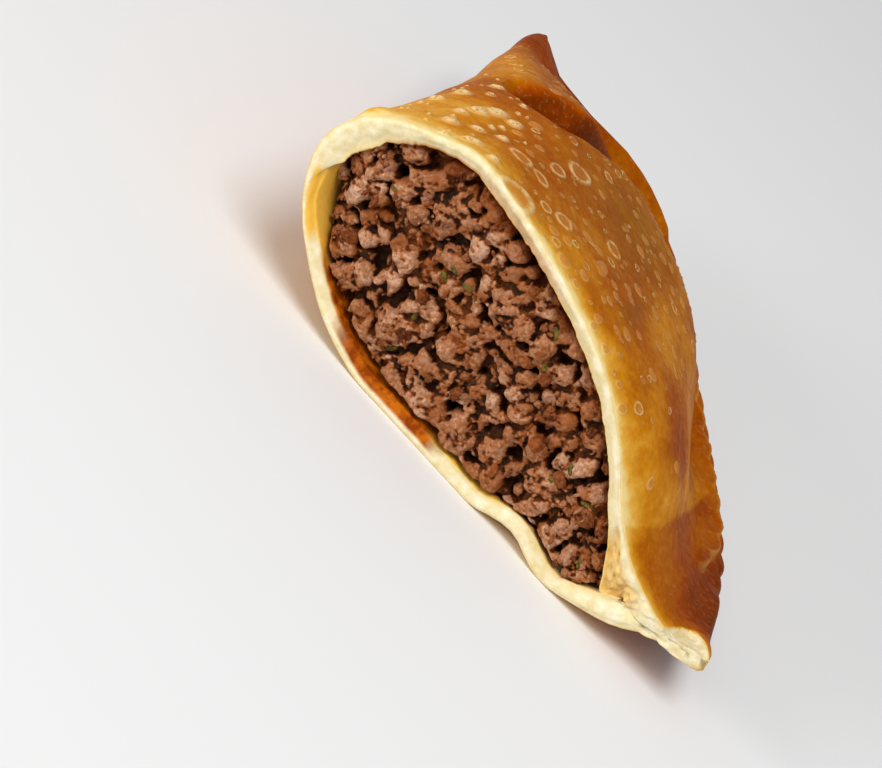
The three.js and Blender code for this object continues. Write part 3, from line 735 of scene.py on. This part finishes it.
# Pits between the crumbs, dark with painted shade: x, z, radius
PITS = [
    (-27.8, 20.9, 1.4), (-29.6, 12.7, 1.1), (-25.0, 9.7, 1.3), (-17.2, 22.2, 1.3), (-22.2, 20.1, 0.8),
    (-21.9, 17.9, 0.8), (-24.7, 25.4, 1.0), (-21.3, 22.9, 0.7), (-16.3, 14.3, 1.0), (-11.4, 11.4, 1.2),
    (-5.6, 11.0, 0.9), (-4.0, 6.4, 1.2), (-14.7, 7.4, 0.9), (0.4, 5.4, 0.9), (4.8, 7.2, 0.9),
    (-5.1, 2.6, 0.9), (10.9, 14.9, 1.0), (15.9, 10.3, 1.2), (12.6, 9.2, 0.9), (7.4, 6.6, 0.8),
    (4.5, 7.3, 0.9), (6.7, 2.9, 0.9), (17.3, 6.1, 0.8), (16.5, 3.2, 0.9),
]
# Patches where the fat of the filling shows orange: x, z, radius
WET_PATCHES = [
    (-21.4, 18.1, 2.4), (-27.2, 17.0, 2.0), (-17.3, 17.3, 1.8), (-24.5, 26.0, 3.0), (-9.0, 12.5, 1.6),
]


def face_grid():
    """Places across the torn face: x and z in columns from fold to seam, and the distance to the dough."""
    sec = section(2.0)
    s = np.linspace(0, 1, 401)[1:-1]
    x, up, down = wall_at(sec, s)
    room = (up - down > 1.7) & (x - sec["nose"] > DOUGH + CLEAR)
    columns = np.arange(x[room][0], x[room][-1], FACE_STEP)
    bottom = np.interp(columns, x[room], down[room]) + CLEAR
    top = np.maximum(np.interp(columns, x[room], up[room]) - CLEAR - TORN_DROP(columns), bottom + 0.4)
    share = np.linspace(0, 1, FACE_LEVELS)
    x = np.broadcast_to(columns[:, None], (len(columns), FACE_LEVELS))
    z = bottom[:, None] + (top - bottom)[:, None] * share
    slant_up = np.hypot(1, np.gradient(top, columns))[:, None]
    slant_down = np.hypot(1, np.gradient(bottom, columns))[:, None]
    clear = np.minimum((top[:, None] - z) / slant_up, (z - bottom[:, None]) / slant_down)
    ends = np.minimum(columns - columns[0], columns[-1] - columns)[:, None]
    return x, z, np.minimum(clear, ends), (top[:, None] - z) / slant_up


def setback(x, z, clear, under_roof):
    """How far the face of the filling stands back from the cut along the dough."""
    at_fold = (1 - ramp(x, -33, -28)) * (1 - ramp(z, 17, 21)) * 3.0
    below = (0.9 * hump(x, -14, 8) - 1.0) * (1 - ramp(z, 3, 8))
    above = (0.3 + 0.7 * ramp(x, -24, -12)) * np.exp(-under_roof / 1.0) * 2.4
    return (0.15 + at_fold + below) * np.exp(-clear / 1.6) + above


def crumb_list():
    """Crumbs fused into the face: x, z, depth, radius, stretch, turn, tone and warmth."""
    made = []
    for x, z, radius, tone, warm in CRUMBS:
        made.append((x, z, 0.9 + 0.5 * radius, radius, 1.1, 0.7 * x, 0.15 + 0.65 * tone, warm))
    columns, levels = 34, 17
    for i, q in enumerate(draws(columns * levels, seed=31.0)):
        column, level = i % columns, i // columns
        x = FOLD_X + (column + 0.5 * (level % 2) + 0.9 * (q[0] - 0.5)) * CRUMB_STEP
        z = 1.0 + (level + 0.9 * (q[1] - 0.5)) * CRUMB_STEP * 0.87
        radius = 0.75 + 0.85 * q[2] ** 1.5
        depth, stretch, warm = 2.2 + 1.7 * (q[3] - 0.5), 1 + 0.9 * q[4], max(0.0, 1.5 * q[7] - 0.8)
        made.append((x, z, depth, radius, stretch, math.pi * q[5], 0.28 + 0.38 * q[6], warm))
    for q in draws(SLIVERS, seed=47.0):
        x, z, depth = FOLD_X + 62 * q[0], 2 + 25 * q[1], 1.7 + 0.7 * q[2]
        radius, stretch = 0.36 + 0.16 * q[3], 2.4 + 2.2 * q[4]
        made.append((x, z, depth, radius, stretch, math.pi * q[5], 0.35 + 0.55 * q[6], q[7] ** 2))
    return made


def softened(values, rounds):
    for _ in range(rounds):
        for axis in (0, 1):
            padded = np.pad(values, [(1, 1) if a == axis else (0, 0) for a in (0, 1)], mode="edge")
            ahead = np.take(padded, np.arange(2, padded.shape[axis]), axis)
            behind = np.take(padded, np.arange(0, padded.shape[axis] - 2), axis)
            values = (ahead + behind + 2 * values) / 4
    return values


def front_around(depth, reach):
    """The foremost depth within some steps of each place."""
    for _ in range(reach):
        for axis in (0, 1):
            depth = np.minimum(depth, np.minimum(np.roll(depth, 1, axis), np.roll(depth, -1, axis)))
    return depth


def mince_relief(x, z, clear, under_roof):
    """How far behind the cut the torn face lies at each place, with its masks."""
    flat = np.stack([x, 0 * x, z], -1)
    wobble = clouds(flat, 1.3, seed=52, octaves=3)
    pitted = np.zeros_like(x)
    for px, pz, radius in PITS:
        t = np.hypot(x - px, z - pz) / radius * (1 + 0.6 * wobble)
        pitted = np.maximum(pitted, 1 - ramp(t, 0.5, 1.5))
    depth = 2.9 + 0.5 * clouds(flat, 5.0, seed=51) + 3.2 * pitted
    tone = 0.3 + 0.2 * wobble
    warm = np.full_like(x, 0.25)
    for cx, cz, cy, radius, stretch, turn, lump_tone, lump_warm in crumb_list():
        near = np.hypot(x - cx, z - cz) < 1.3 * radius * stretch
        if not near.any():
            continue
        cy += 2.6 * max(0.0, 1 - min(math.hypot(cx - a, cz - b) / (0.9 * r) for a, b, r in PITS))
        u, v = x[near] - cx, z[near] - cz
        along, wide = u * math.cos(turn) + v * math.sin(turn), v * math.cos(turn) - u * math.sin(turn)
        t = np.hypot(along / stretch, wide) / radius * (1 + 0.5 * wobble[near])
        strands = granules(np.stack([along / 2.3, wide, 0 * wide + 3 * cx], -1), 0.85, seed=57)
        front = cy - 0.8 * radius * np.clip(1 - t**2.5, 0, 1) ** 0.5 + 0.6 * (strands - 0.5)
        front = np.where(t < 1, front, 99.0)
        held = depth[near]
        wins = front < held
        depth[near] = np.where(wins, front, held)
        tone[near] = np.where(wins, lump_tone, tone[near])
        warm[near] = np.where(wins, lump_warm, warm[near])
    depth = softened(depth, 1)
    tone = softened(tone, 3)
    depth += setback(x, z, clear, under_roof) + 1.5 * (1 - ramp(clear, 0, 0.5))
    # Under the roof the filling gets orange fat and a painted shadow of the roof: its tone is made darker.
    oily_roof_shade = np.exp(-under_roof / 1.6) * ramp(x, -30, -22)
    tone -= 0.2 * oily_roof_shade
    warm = np.maximum(warm, 0.8 * oily_roof_shade)
    for px, pz, radius in WET_PATCHES:
        t = np.hypot(x - px, z - pz) / radius * (1 + 0.5 * wobble)
        warm = np.maximum(warm, 1.2 * (1 - ramp(t, 0.4, 1.1)))
    points = np.stack([x, depth, z], -1)
    coarse, small = granules(points, 1.0, seed=61), granules(points, 0.5, seed=71)
    depth = depth + 0.4 * (coarse - 0.5) + 0.26 * (small - 0.5) - 0.15 * clouds(points, 0.35, seed=53)
    # Painted light: hollows are made darker as painted shade and the tops lighter as a painted highlight.
    hollow = (depth - softened(depth, 30)) / 0.65 + (depth - softened(depth, 5)) / 0.6
    # Painted shade: sunk places and those far behind the cut are made dark.
    sunk = depth - softened(front_around(depth, 9), 6)
    masks = {
        "tone": tone,
        "warm": np.clip(warm, 0, 1),
        "deep": np.maximum(ramp(sunk, 1.0, 3.0), ramp(depth, 3.9, 5.6)),
        "crevice_shade_and_highlight": np.clip(0.45 + hollow, 0, 1),
    }
    return np.minimum(depth, FACE_BACK - 0.4), masks


def mince_face():
    """The torn face of the filling: crumbs and slivers stuck together, with pits between them."""
    x, z, clear, under_roof = face_grid()
    depth, masks = mince_relief(x, z, clear, under_roof)
    front = np.stack([x, depth, z], -1)
    back = front[:, ::-10].copy()
    back[..., 1] = FACE_BACK
    rows = capped(np.concatenate([front, back], axis=1))

    def full(values):
        wide = np.concatenate([values, values[:, ::-10]], axis=1)
        return np.concatenate([wide[:1], wide, wide[-1:]])

    return wrapped_grid("mince_face", rows, {key: full(values) for key, values in masks.items()})


def lumpy_shape(seed, subdivisions, rough):
    """A crumb of unit size: a ball pushed in and out until it is a torn, knobbly lump."""
    bpy.ops.mesh.primitive_ico_sphere_add(subdivisions=subdivisions, radius=1)
    ball = bpy.context.object
    points = np.zeros(len(ball.data.vertices) * 3)
    ball.data.vertices.foreach_get("co", points)
    points = points.reshape(-1, 3)
    faces = np.zeros(len(ball.data.polygons) * 3, int)
    ball.data.polygons.foreach_get("vertices", faces)
    bpy.data.objects.remove(ball)
    grow = 1 + rough * clouds(points + 31 * seed, 1.1, seed=seed, octaves=3)
    grow -= 0.35 * (granules(points + 31 * seed, 0.6, seed) - 0.5)
    return points * grow[:, None], faces.reshape(-1, 3)


def turned(q):
    """A rotation matrix from three numbers in 0..1."""
    about_x, about_y, about_z = (Matrix.Rotation(v * math.tau, 3, axis) for v, axis in zip(q, "XYZ"))
    return np.array(about_x @ about_y @ about_z)


def joined(name, shapes, placements, masks):
    """One mesh of many copies, placed by shape number, place, turn and size, with a mask value for each."""
    points, faces, owner = [], [], []
    offset = 0
    for i, (kind, place, turn, size) in enumerate(placements):
        base, base_faces = shapes[kind]
        points.append((base * size) @ turn.T + place)
        faces.append(base_faces + offset)
        offset += len(base)
        owner.append(np.full(len(base), i))
    points, faces = np.concatenate(points), np.concatenate(faces)
    mesh = bpy.data.meshes.new(name)
    mesh.vertices.add(len(points))
    mesh.vertices.foreach_set("co", world(points).ravel())
    mesh.loops.add(faces.size)
    mesh.loops.foreach_set("vertex_index", faces.ravel())
    mesh.polygons.add(len(faces))
    mesh.polygons.foreach_set("loop_start", np.arange(len(faces)) * faces.shape[1])
    mesh.update(calc_edges=True)
    obj = bpy.data.objects.new(name, mesh)
    bpy.context.collection.objects.link(obj)
    owner = np.concatenate(owner)
    for key, values in masks.items():
        add_mask(obj, key, np.broadcast_to(values, (len(placements),))[owner])
    select_only(obj)
    bpy.ops.object.shade_smooth()
    return obj


def mince_core():
    """The rest of the filling, right through the pocket, behind the torn face."""
    loops = []
    for t in np.linspace(0, 1, CORE_ROWS):
        loop = hollow_loop(CORE_FRONT + (HOLLOW_END - CORE_FRONT) * t)
        if loop is None:
            continue
        middle = loop.mean(0)
        inward = middle - loop
        inward /= np.maximum(np.linalg.norm(inward, axis=1, keepdims=True), 1e-6)
        loops.append((loop + inward * CLEAR)[::3])
    front = loops[0]
    middle = front.mean(0)
    cap = [middle + (front - middle) * t for t in np.linspace(0.04, 0.97, CORE_RINGS)]
    rows = np.array([np.broadcast_to(middle, front.shape), *cap, *loops])
    last = rows[-1].mean(0) + np.array([0, -0.2, 0])
    rows = np.concatenate([rows, np.broadcast_to(last, rows[:1].shape)])
    obj = wrapped_grid("mince_core", rows, {})
    # The core behind the face has the full painted shade of the pits and some painted crevice shade.
    for name, value in (("tone", 0.25), ("warm", 0.2), ("deep", 1.0), ("crevice_shade_and_highlight", 0.5)):
        add_mask(obj, name, np.full(len(obj.data.vertices), value))
    return obj


def on_the_face(face, count, seed):
    """Spots of the torn face that lie open toward the cut: places, normals and a row of numbers for each."""
    size = len(face.data.vertices)
    points, normals, deep = np.zeros(size * 3), np.zeros(size * 3), np.zeros(size, np.float32)
    face.data.vertices.foreach_get("co", points)
    face.data.vertices.foreach_get("normal", normals)
    face.data.attributes["deep"].data.foreach_get("value", deep)
    points, normals = points.reshape(-1, 3) / MM - PLACE, normals.reshape(-1, 3)
    open_spots = np.nonzero((points[:, 1] < 2.9) & (normals[:, 1] < -0.3) & (deep < 0.3))[0]
    q = draws(count, seed)
    spots = open_spots[(q[:, 0] * len(open_spots)).astype(int)]
    return zip(points[spots], normals[spots], q)


def loose_mince(name, face, count, shapes, seed, radii, widths, lift, tone, warmth):
    """Bits of mince that stand out of the torn face or lie on it."""
    placements, tones, warm = [], [], []
    for place, normal, q in on_the_face(face, count, seed):
        radius = radii[0] + radii[1] * q[1] ** 2
        size = radius * np.array([1 + widths[0] * q[2], *widths[1:]])
        placements.append((int(q[3] * len(shapes)), place + normal * lift * radius, turned(q[4:7]), size))
        tones.append(tone + 0.45 * q[7])
        warm.append(warmth(q[2]))
    # Loose bits get no painted pit shade and no painted crevice shade.
    return joined(name, shapes, placements, {"tone": tones, "warm": warm, "deep": 0.0, "crevice_shade_and_highlight": 0.4})


def loose_pieces(face):
    """Crumbs, grains and small leaves of dried herb on the torn face."""
    crumbs = [lumpy_shape(seed, 4, 0.5) for seed in range(7)]
    yield loose_mince(
        "mince_crumbs", face, LOOSE_CRUMBS, crumbs, seed=43.0, radii=(0.55, 0.5), widths=(0.6, 0.85, 0.75),
        lift=-0.2, tone=0.25, warmth=lambda q: max(0.0, 2 * q - 1.1),
    )
    grains = [lumpy_shape(seed + 60, 2, 0.6) for seed in range(6)]
    yield loose_mince(
        "mince_grains", face, LOOSE_GRAINS, grains, seed=53.0, radii=(0.2, 0.25), widths=(1.3, 0.8, 0.6),
        lift=0.1, tone=0.3, warmth=lambda q: q**3,
    )
    leaves = [lumpy_shape(seed + 70, 2, 0.6) for seed in range(3)]
    placements = []
    for place, normal, q in on_the_face(face, HERB_FLECKS, seed=59.0):
        size = (0.3 + 0.35 * q[1]) * np.array([1.5, 0.8, 0.2])
        lean = np.array(Vector(normal).to_track_quat("Z", "Y").to_matrix())
        turn = lean @ turned((0.0, 0.0, q[4]))
        placements.append((int(q[3] * len(leaves)), place + normal * 0.05, turn, size))
    yield joined("herb_flecks", leaves, placements, {})


# ---------------------------------------------------------------- shader parts
def linear(code):
    """A colour code to the linear values that the shaders use."""
    values = [int(code[i : i + 2], 16) / 255 for i in (1, 3, 5)]
    return tuple(v / 12.92 if v < 0.04045 else ((v + 0.055) / 1.055) ** 2.4 for v in values) + (1.0,)


class Wires:
    """A short way to add nodes to a tree and join them. A colour may be given as its code."""

    def __init__(self, tree):
        self.tree = tree

    def node(self, kind, **settings):
        made = self.tree.nodes.new(kind)
        for key, value in settings.items():
            setattr(made, key, value)
        return made

    def put(self, socket, value):
        if isinstance(value, bpy.types.NodeSocket):
            self.tree.links.new(value, socket)
        else:
            socket.default_value = linear(value) if isinstance(value, str) else value

    def fill(self, made, **values):
        """Set the named inputs of a node, with _ for each space in a name."""
        for name, value in values.items():
            self.put(made.inputs[name.replace("_", " ")], value)
        return made

    def mask(self, name):
        return self.node("ShaderNodeAttribute", attribute_name=name).outputs["Fac"]

    def math(self, operation, a, b, clamp):
        made = self.node("ShaderNodeMath", operation=operation, use_clamp=clamp)
        self.put(made.inputs[0], a)
        self.put(made.inputs[1], b)
        return made.outputs[0]

    def plus(self, a, b, clamp=False):
        return self.math("ADD", a, b, clamp)

    def minus(self, a, b, clamp=False):
        return self.math("SUBTRACT", a, b, clamp)

    def times(self, a, b, clamp=False):
        return self.math("MULTIPLY", a, b, clamp)

    def varied(self, value, noise, amount, clamp=False):
        """The value with noise around one half added to it."""
        return self.plus(value, self.times(self.minus(noise, 0.5), amount), clamp)

    def blend(self, share, a, b):
        made = self.node("ShaderNodeMix", data_type="RGBA")
        for i, value in ((0, share), (6, a), (7, b)):
            self.put(made.inputs[i], value)
        return made.outputs[2]

    def place(self):
        return self.node("ShaderNodeTexCoord").outputs["Object"]

    def noise(self, cells, detail=3.0, rough=0.5):
        """Noise over the object's own coordinates, with so many cells in each metre."""
        made = self.node("ShaderNodeTexNoise")
        self.fill(made, Vector=self.place(), Scale=cells, Detail=detail, Roughness=rough)
        return made.outputs["Fac"]

    def lumps(self, size, *look):
        """Noise with lumps of the given size in millimetres."""
        return self.noise(1 / (size * MM), *look)

    def colours(self, value, *stops):
        made = self.node("ShaderNodeValToRGB")
        elements = made.color_ramp.elements
        while len(elements) < len(stops):
            elements.new(0.5)
        for element, (place, code) in zip(elements, stops):
            element.position = place
            element.color = linear(code)
        self.put(made.inputs[0], value)
        return made.outputs[0]

    def spread(self, value, low, high, to_low=0.0, to_high=1.0):
        made = self.node("ShaderNodeMapRange", interpolation_type="SMOOTHSTEP")
        for socket, v in zip(made.inputs, (value, low, high, to_low, to_high)):
            self.put(socket, v)
        return made.outputs[0]


def grain_group():
    """Fine pores and grain: puts out a height and a speckle mask. Sizes are in noise cells for each metre."""
    tree = bpy.data.node_groups.new("fine grain", "ShaderNodeTree")
    for name, value in (("Cells", 1500.0), ("Pores", 0.5)):
        socket = tree.interface.new_socket(name=name, in_out="INPUT", socket_type="NodeSocketFloat")
        socket.default_value = value
    for name in ("Height", "Speckle"):
        tree.interface.new_socket(name=name, in_out="OUTPUT", socket_type="NodeSocketFloat")
    w = Wires(tree)
    given = w.node("NodeGroupInput").outputs
    noise = w.noise(given["Cells"], 4.0, 0.6)
    cells = w.node("ShaderNodeTexVoronoi", feature="SMOOTH_F1")
    w.fill(cells, Vector=w.place(), Scale=given["Cells"])
    bubbles = w.times(w.minus(0.6, cells.outputs["Distance"]), given["Pores"])
    w.fill(w.node("NodeGroupOutput"), Height=w.plus(noise, bubbles), Speckle=w.spread(noise, 0.52, 0.68))
    return tree


GRAIN = grain_group()


def surface(name):
    """A new material, the wires of its tree and its shader."""
    material = bpy.data.materials.new(name)
    material.use_nodes = True
    w = Wires(material.node_tree)
    return material, w, material.node_tree.nodes["Principled BSDF"]


def grain(w, cells, pores):
    """The height and the speckle of fine grain, by name."""
    return w.fill(w.node("ShaderNodeGroup", node_tree=GRAIN), Cells=cells, Pores=pores).outputs


def raise_by(w, shader, height, distance):
    bump = w.fill(w.node("ShaderNodeBump"), Height=height, Distance=distance * MM, Strength=1.0)
    w.put(shader.inputs["Normal"], bump.outputs["Normal"])


def fried_skin():
    material, w, shader = surface("fried skin")
    blotch, mottle, crumbs = w.lumps(5.0), w.lumps(1.1, 4.0, 0.6), w.lumps(0.42, 3.0, 0.6)
    fine = grain(w, 1600, 0.4)
    # The skin's tone follows its browning, which also holds painted shade in the pleat.
    tone = w.varied(w.varied(w.mask("browning_and_shade"), blotch, 0.4), mottle, 0.3, clamp=True)
    colour = w.colours(
        tone, (0.0, "#F6DA90"), (0.18, "#E8AE40"), (0.38, "#D08412"), (0.56, "#B26000"), (0.76, "#9A4000"),
        (1.0, "#702A00"),
    )
    colour = w.blend(w.times(w.mask("tan"), 0.6), colour, "#8E5810")

    out, kind = w.varied(w.mask("blister"), crumbs, 0.3), w.mask("kind")
    lip = w.minus(w.spread(out, 0.52, 0.82), w.spread(out, 0.9, 1.2), clamp=True)
    lip = w.times(lip, w.spread(kind, 0.2, 0.3, 1.0, 0.45))
    middle = w.spread(out, 0.45, 0.95, 1.0, 0.0)
    colour = w.blend(w.times(middle, w.spread(kind, 0.2, 0.3, 0.4, 0.75)), colour, "#CC823A")
    white = w.times(w.times(middle, w.spread(kind, 0.7, 0.8)), w.spread(crumbs, 0.3, 0.5))
    colour = w.blend(w.times(white, 0.75), colour, "#F6DDA0")
    colour = w.blend(w.times(lip, w.spread(mottle, 0.32, 0.62, 0.15, 0.8)), colour, "#EFC888")
    # Pale lines along the crimped flaps, and a painted highlight along the ridge of the flank.
    colour = w.blend(w.times(w.mask("line"), 0.5), colour, "#E2A650")
    colour = w.blend(w.times(fine["Speckle"], 0.08), colour, "#F0CC86")
    w.fill(shader, Base_Color=colour, Roughness=w.spread(mottle, 0.3, 0.7, 0.46, 0.62))
    w.fill(shader, Specular_IOR_Level=0.06, Specular_Tint="#F0A040")
    raised = w.plus(w.times(lip, 1.6), w.times(white, 0.8))
    raise_by(w, shader, w.plus(raised, w.times(fine["Height"], 0.25)), 0.1)
    return material


def cut_dough():
    material, w, shader = surface("cut dough")
    layer, way = w.lumps(1.6, 4.0, 0.6), w.mask("across")
    cream = w.colours(layer, (0.3, "#DECB94"), (0.5, "#E9DAAE"), (0.7, "#F4EACC"))
    cream = w.blend(w.times(w.spread(way, 0.0, 0.35, 1.0, 0.0), 0.6), cream, "#E0C078")
    wall = w.blend(w.mask("inside"), cream, "#EDB848")
    soaked = w.times(w.mask("stain"), w.spread(way, 0.45, 0.7, 1.0, 0.0), clamp=True)
    colour = w.blend(soaked, wall, w.colours(layer, (0.4, "#8A3800"), (0.6, "#C2660A")))
    colour = w.blend(w.spread(way, 0.9, 1.0, 0.0, 0.6), colour, "#E0AC54")
    w.fill(shader, Base_Color=colour, Roughness=w.minus(0.75, w.times(soaked, 0.1)), Specular_IOR_Level=0.06)
    w.fill(shader, Subsurface_Weight=0.15, Subsurface_Radius=(1.0, 0.7, 0.35), Subsurface_Scale=0.0012)
    raise_by(w, shader, grain(w, 1300, 0.5)["Height"], 0.09)
    return material


def cooked_mince():
    material, w, shader = surface("cooked mince")
    patch, hue, fibre = w.lumps(2.6), w.lumps(1.5, 4.0, 0.6), w.lumps(0.45, 5.0, 0.65)
    tone = w.varied(w.varied(w.mask("tone"), patch, 0.5), fibre, 1.1)
    # Painted light: hollows darker as painted shade, the tops lighter as a painted highlight.
    tone = w.minus(tone, w.spread(w.mask("crevice_shade_and_highlight"), 0.15, 0.85, -0.26, 0.56), clamp=True)
    colour = w.colours(
        tone, (0.0, "#1C0A04"), (0.2, "#461E0A"), (0.42, "#743A1A"), (0.62, "#945832"), (0.82, "#AE7854"),
        (1.0, "#CCA286"),
    )
    greyed = w.times(w.spread(hue, 0.52, 0.66, 0.0, 0.4), w.spread(tone, 0.3, 0.6))
    colour = w.blend(greyed, colour, "#8A6A5A")
    colour = w.blend(w.spread(hue, 0.34, 0.46, 0.45, 0.0), colour, "#8E4A16")
    warm = w.times(w.mask("warm"), w.spread(patch, 0.35, 0.6), clamp=True)
    colour = w.blend(w.times(warm, 0.7), colour, "#8A420E")
    # Painted shade: the pits and the far places go near black.
    colour = w.blend(w.times(w.mask("deep"), 0.92), colour, "#1E0804")
    w.fill(shader, Base_Color=colour, Roughness=w.spread(fibre, 0.3, 0.7, 0.4, 0.62))
    w.fill(shader, Specular_IOR_Level=0.3, Specular_Tint="#F0B890")
    raise_by(w, shader, grain(w, 3000, 0.2)["Height"], 0.16)
    return material


def dried_herb():
    material, w, shader = surface("dried herb")
    colour = w.colours(w.lumps(0.4, 2.0), (0.35, "#46380E"), (0.65, "#766426"))
    w.fill(shader, Base_Color=colour, Roughness=0.6, Specular_IOR_Level=0.2)
    return material


# ---------------------------------------------------------------- pieces
shell = crust_shell()
skin_finish, dough_finish, mince_finish = fried_skin(), cut_dough(), cooked_mince()
shell.data.materials.append(skin_finish)
shell.data.materials.append(dough_finish)
cut = np.zeros(len(shell.data.vertices), np.float32)
shell.data.attributes["cut"].data.foreach_get("value", cut)
for polygon in shell.data.polygons:
    polygon.material_index = int(max(cut[v] for v in polygon.vertices) > 0.5)
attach(shell, "root")
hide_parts("crust")

face = mince_face()
for piece in (face, mince_core(), *loose_pieces(face)):
    piece.data.materials.clear()
    piece.data.materials.append(dried_herb() if piece.name == "herb_flecks" else mince_finish)
    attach(piece, "root")
    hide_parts("filling")

# ---------------------------------------------------------------- studio
AIM = (-7.3, 0.0, 8.0)  # in the cut's frame
CAMERA_AZIMUTH = 5.0
CAMERA_ELEVATION = 27.0
CAMERA_ROLL = 45.0
CAMERA_DISTANCE = 420.0
PIXELS_PER_MM = 8.65
IMAGE_WIDTH = 882
SENSOR = 36.0
FLOOR_SIZE = 8.0  # in metres, as are the next one and the distances and sizes of the lights
FLOOR_DROP = 0.00005  # the floor lies this little below the part


def view_axes():
    """Image right, image up and back toward the camera."""
    azimuth, elevation, roll = (math.radians(v) for v in (CAMERA_AZIMUTH, CAMERA_ELEVATION, CAMERA_ROLL))
    back = Vector((
        math.sin(azimuth) * math.cos(elevation), -math.cos(azimuth) * math.cos(elevation), math.sin(elevation)
    ))
    right = Vector((math.cos(azimuth), math.sin(azimuth), 0))
    up = back.cross(right)
    return (
        right * math.cos(roll) + up * math.sin(roll), up * math.cos(roll) - right * math.sin(roll), back
    )


RIGHT, UP, BACK = view_axes()
aim = Vector(world(AIM))


def studio_camera():
    data = bpy.data.cameras.new("camera")
    data.sensor_width = SENSOR
    data.lens = PIXELS_PER_MM * CAMERA_DISTANCE / IMAGE_WIDTH * SENSOR
    data.clip_start = 0.01
    camera = bpy.data.objects.new("camera", data)
    bpy.context.scene.collection.objects.link(camera)
    turn = Matrix((RIGHT, UP, BACK)).transposed()
    camera.matrix_world = Matrix.Translation(aim + BACK * CAMERA_DISTANCE * MM) @ turn.to_4x4()
    bpy.context.scene.camera = camera


def soft_light(name, toward, distance, size, power):
    data = bpy.data.lights.new(name, "AREA")
    data.shape = "DISK"
    data.size = size
    data.energy = power
    lamp = bpy.data.objects.new(name, data)
    bpy.context.scene.collection.objects.link(lamp)
    lamp.location = aim + toward.normalized() * distance
    lamp.rotation_euler = toward.to_track_quat("Z", "Y").to_euler()


def floor_and_light():
    bpy.ops.mesh.primitive_plane_add(size=FLOOR_SIZE, location=(0, 0, -FLOOR_DROP))
    floor = bpy.context.object
    floor.name = "floor"
    bpy.ops.object.transform_apply(location=True, rotation=False, scale=False)
    material, w, shader = surface("pale floor")
    w.fill(shader, Base_Color=(0.9, 0.9, 0.9, 1.0), Roughness=0.9)
    floor.data.materials.append(material)
    world_light = bpy.data.worlds.new("studio")
    bpy.context.scene.world = world_light
    world_light.use_nodes = True
    background = world_light.node_tree.nodes["Background"]
    background.inputs["Color"].default_value = (1.0, 1.0, 1.0, 1.0)
    background.inputs["Strength"].default_value = 0.35
    soft_light("key", -0.62 * RIGHT + 0.5 * UP + 0.6 * BACK, distance=0.7, size=0.3, power=2.6)
    soft_light("overhead", Vector((0.1, -0.45, 0.88)), distance=0.9, size=0.5, power=4.6)
    bpy.context.scene.view_settings.view_transform = "Standard"


studio_camera()
floor_and_light()
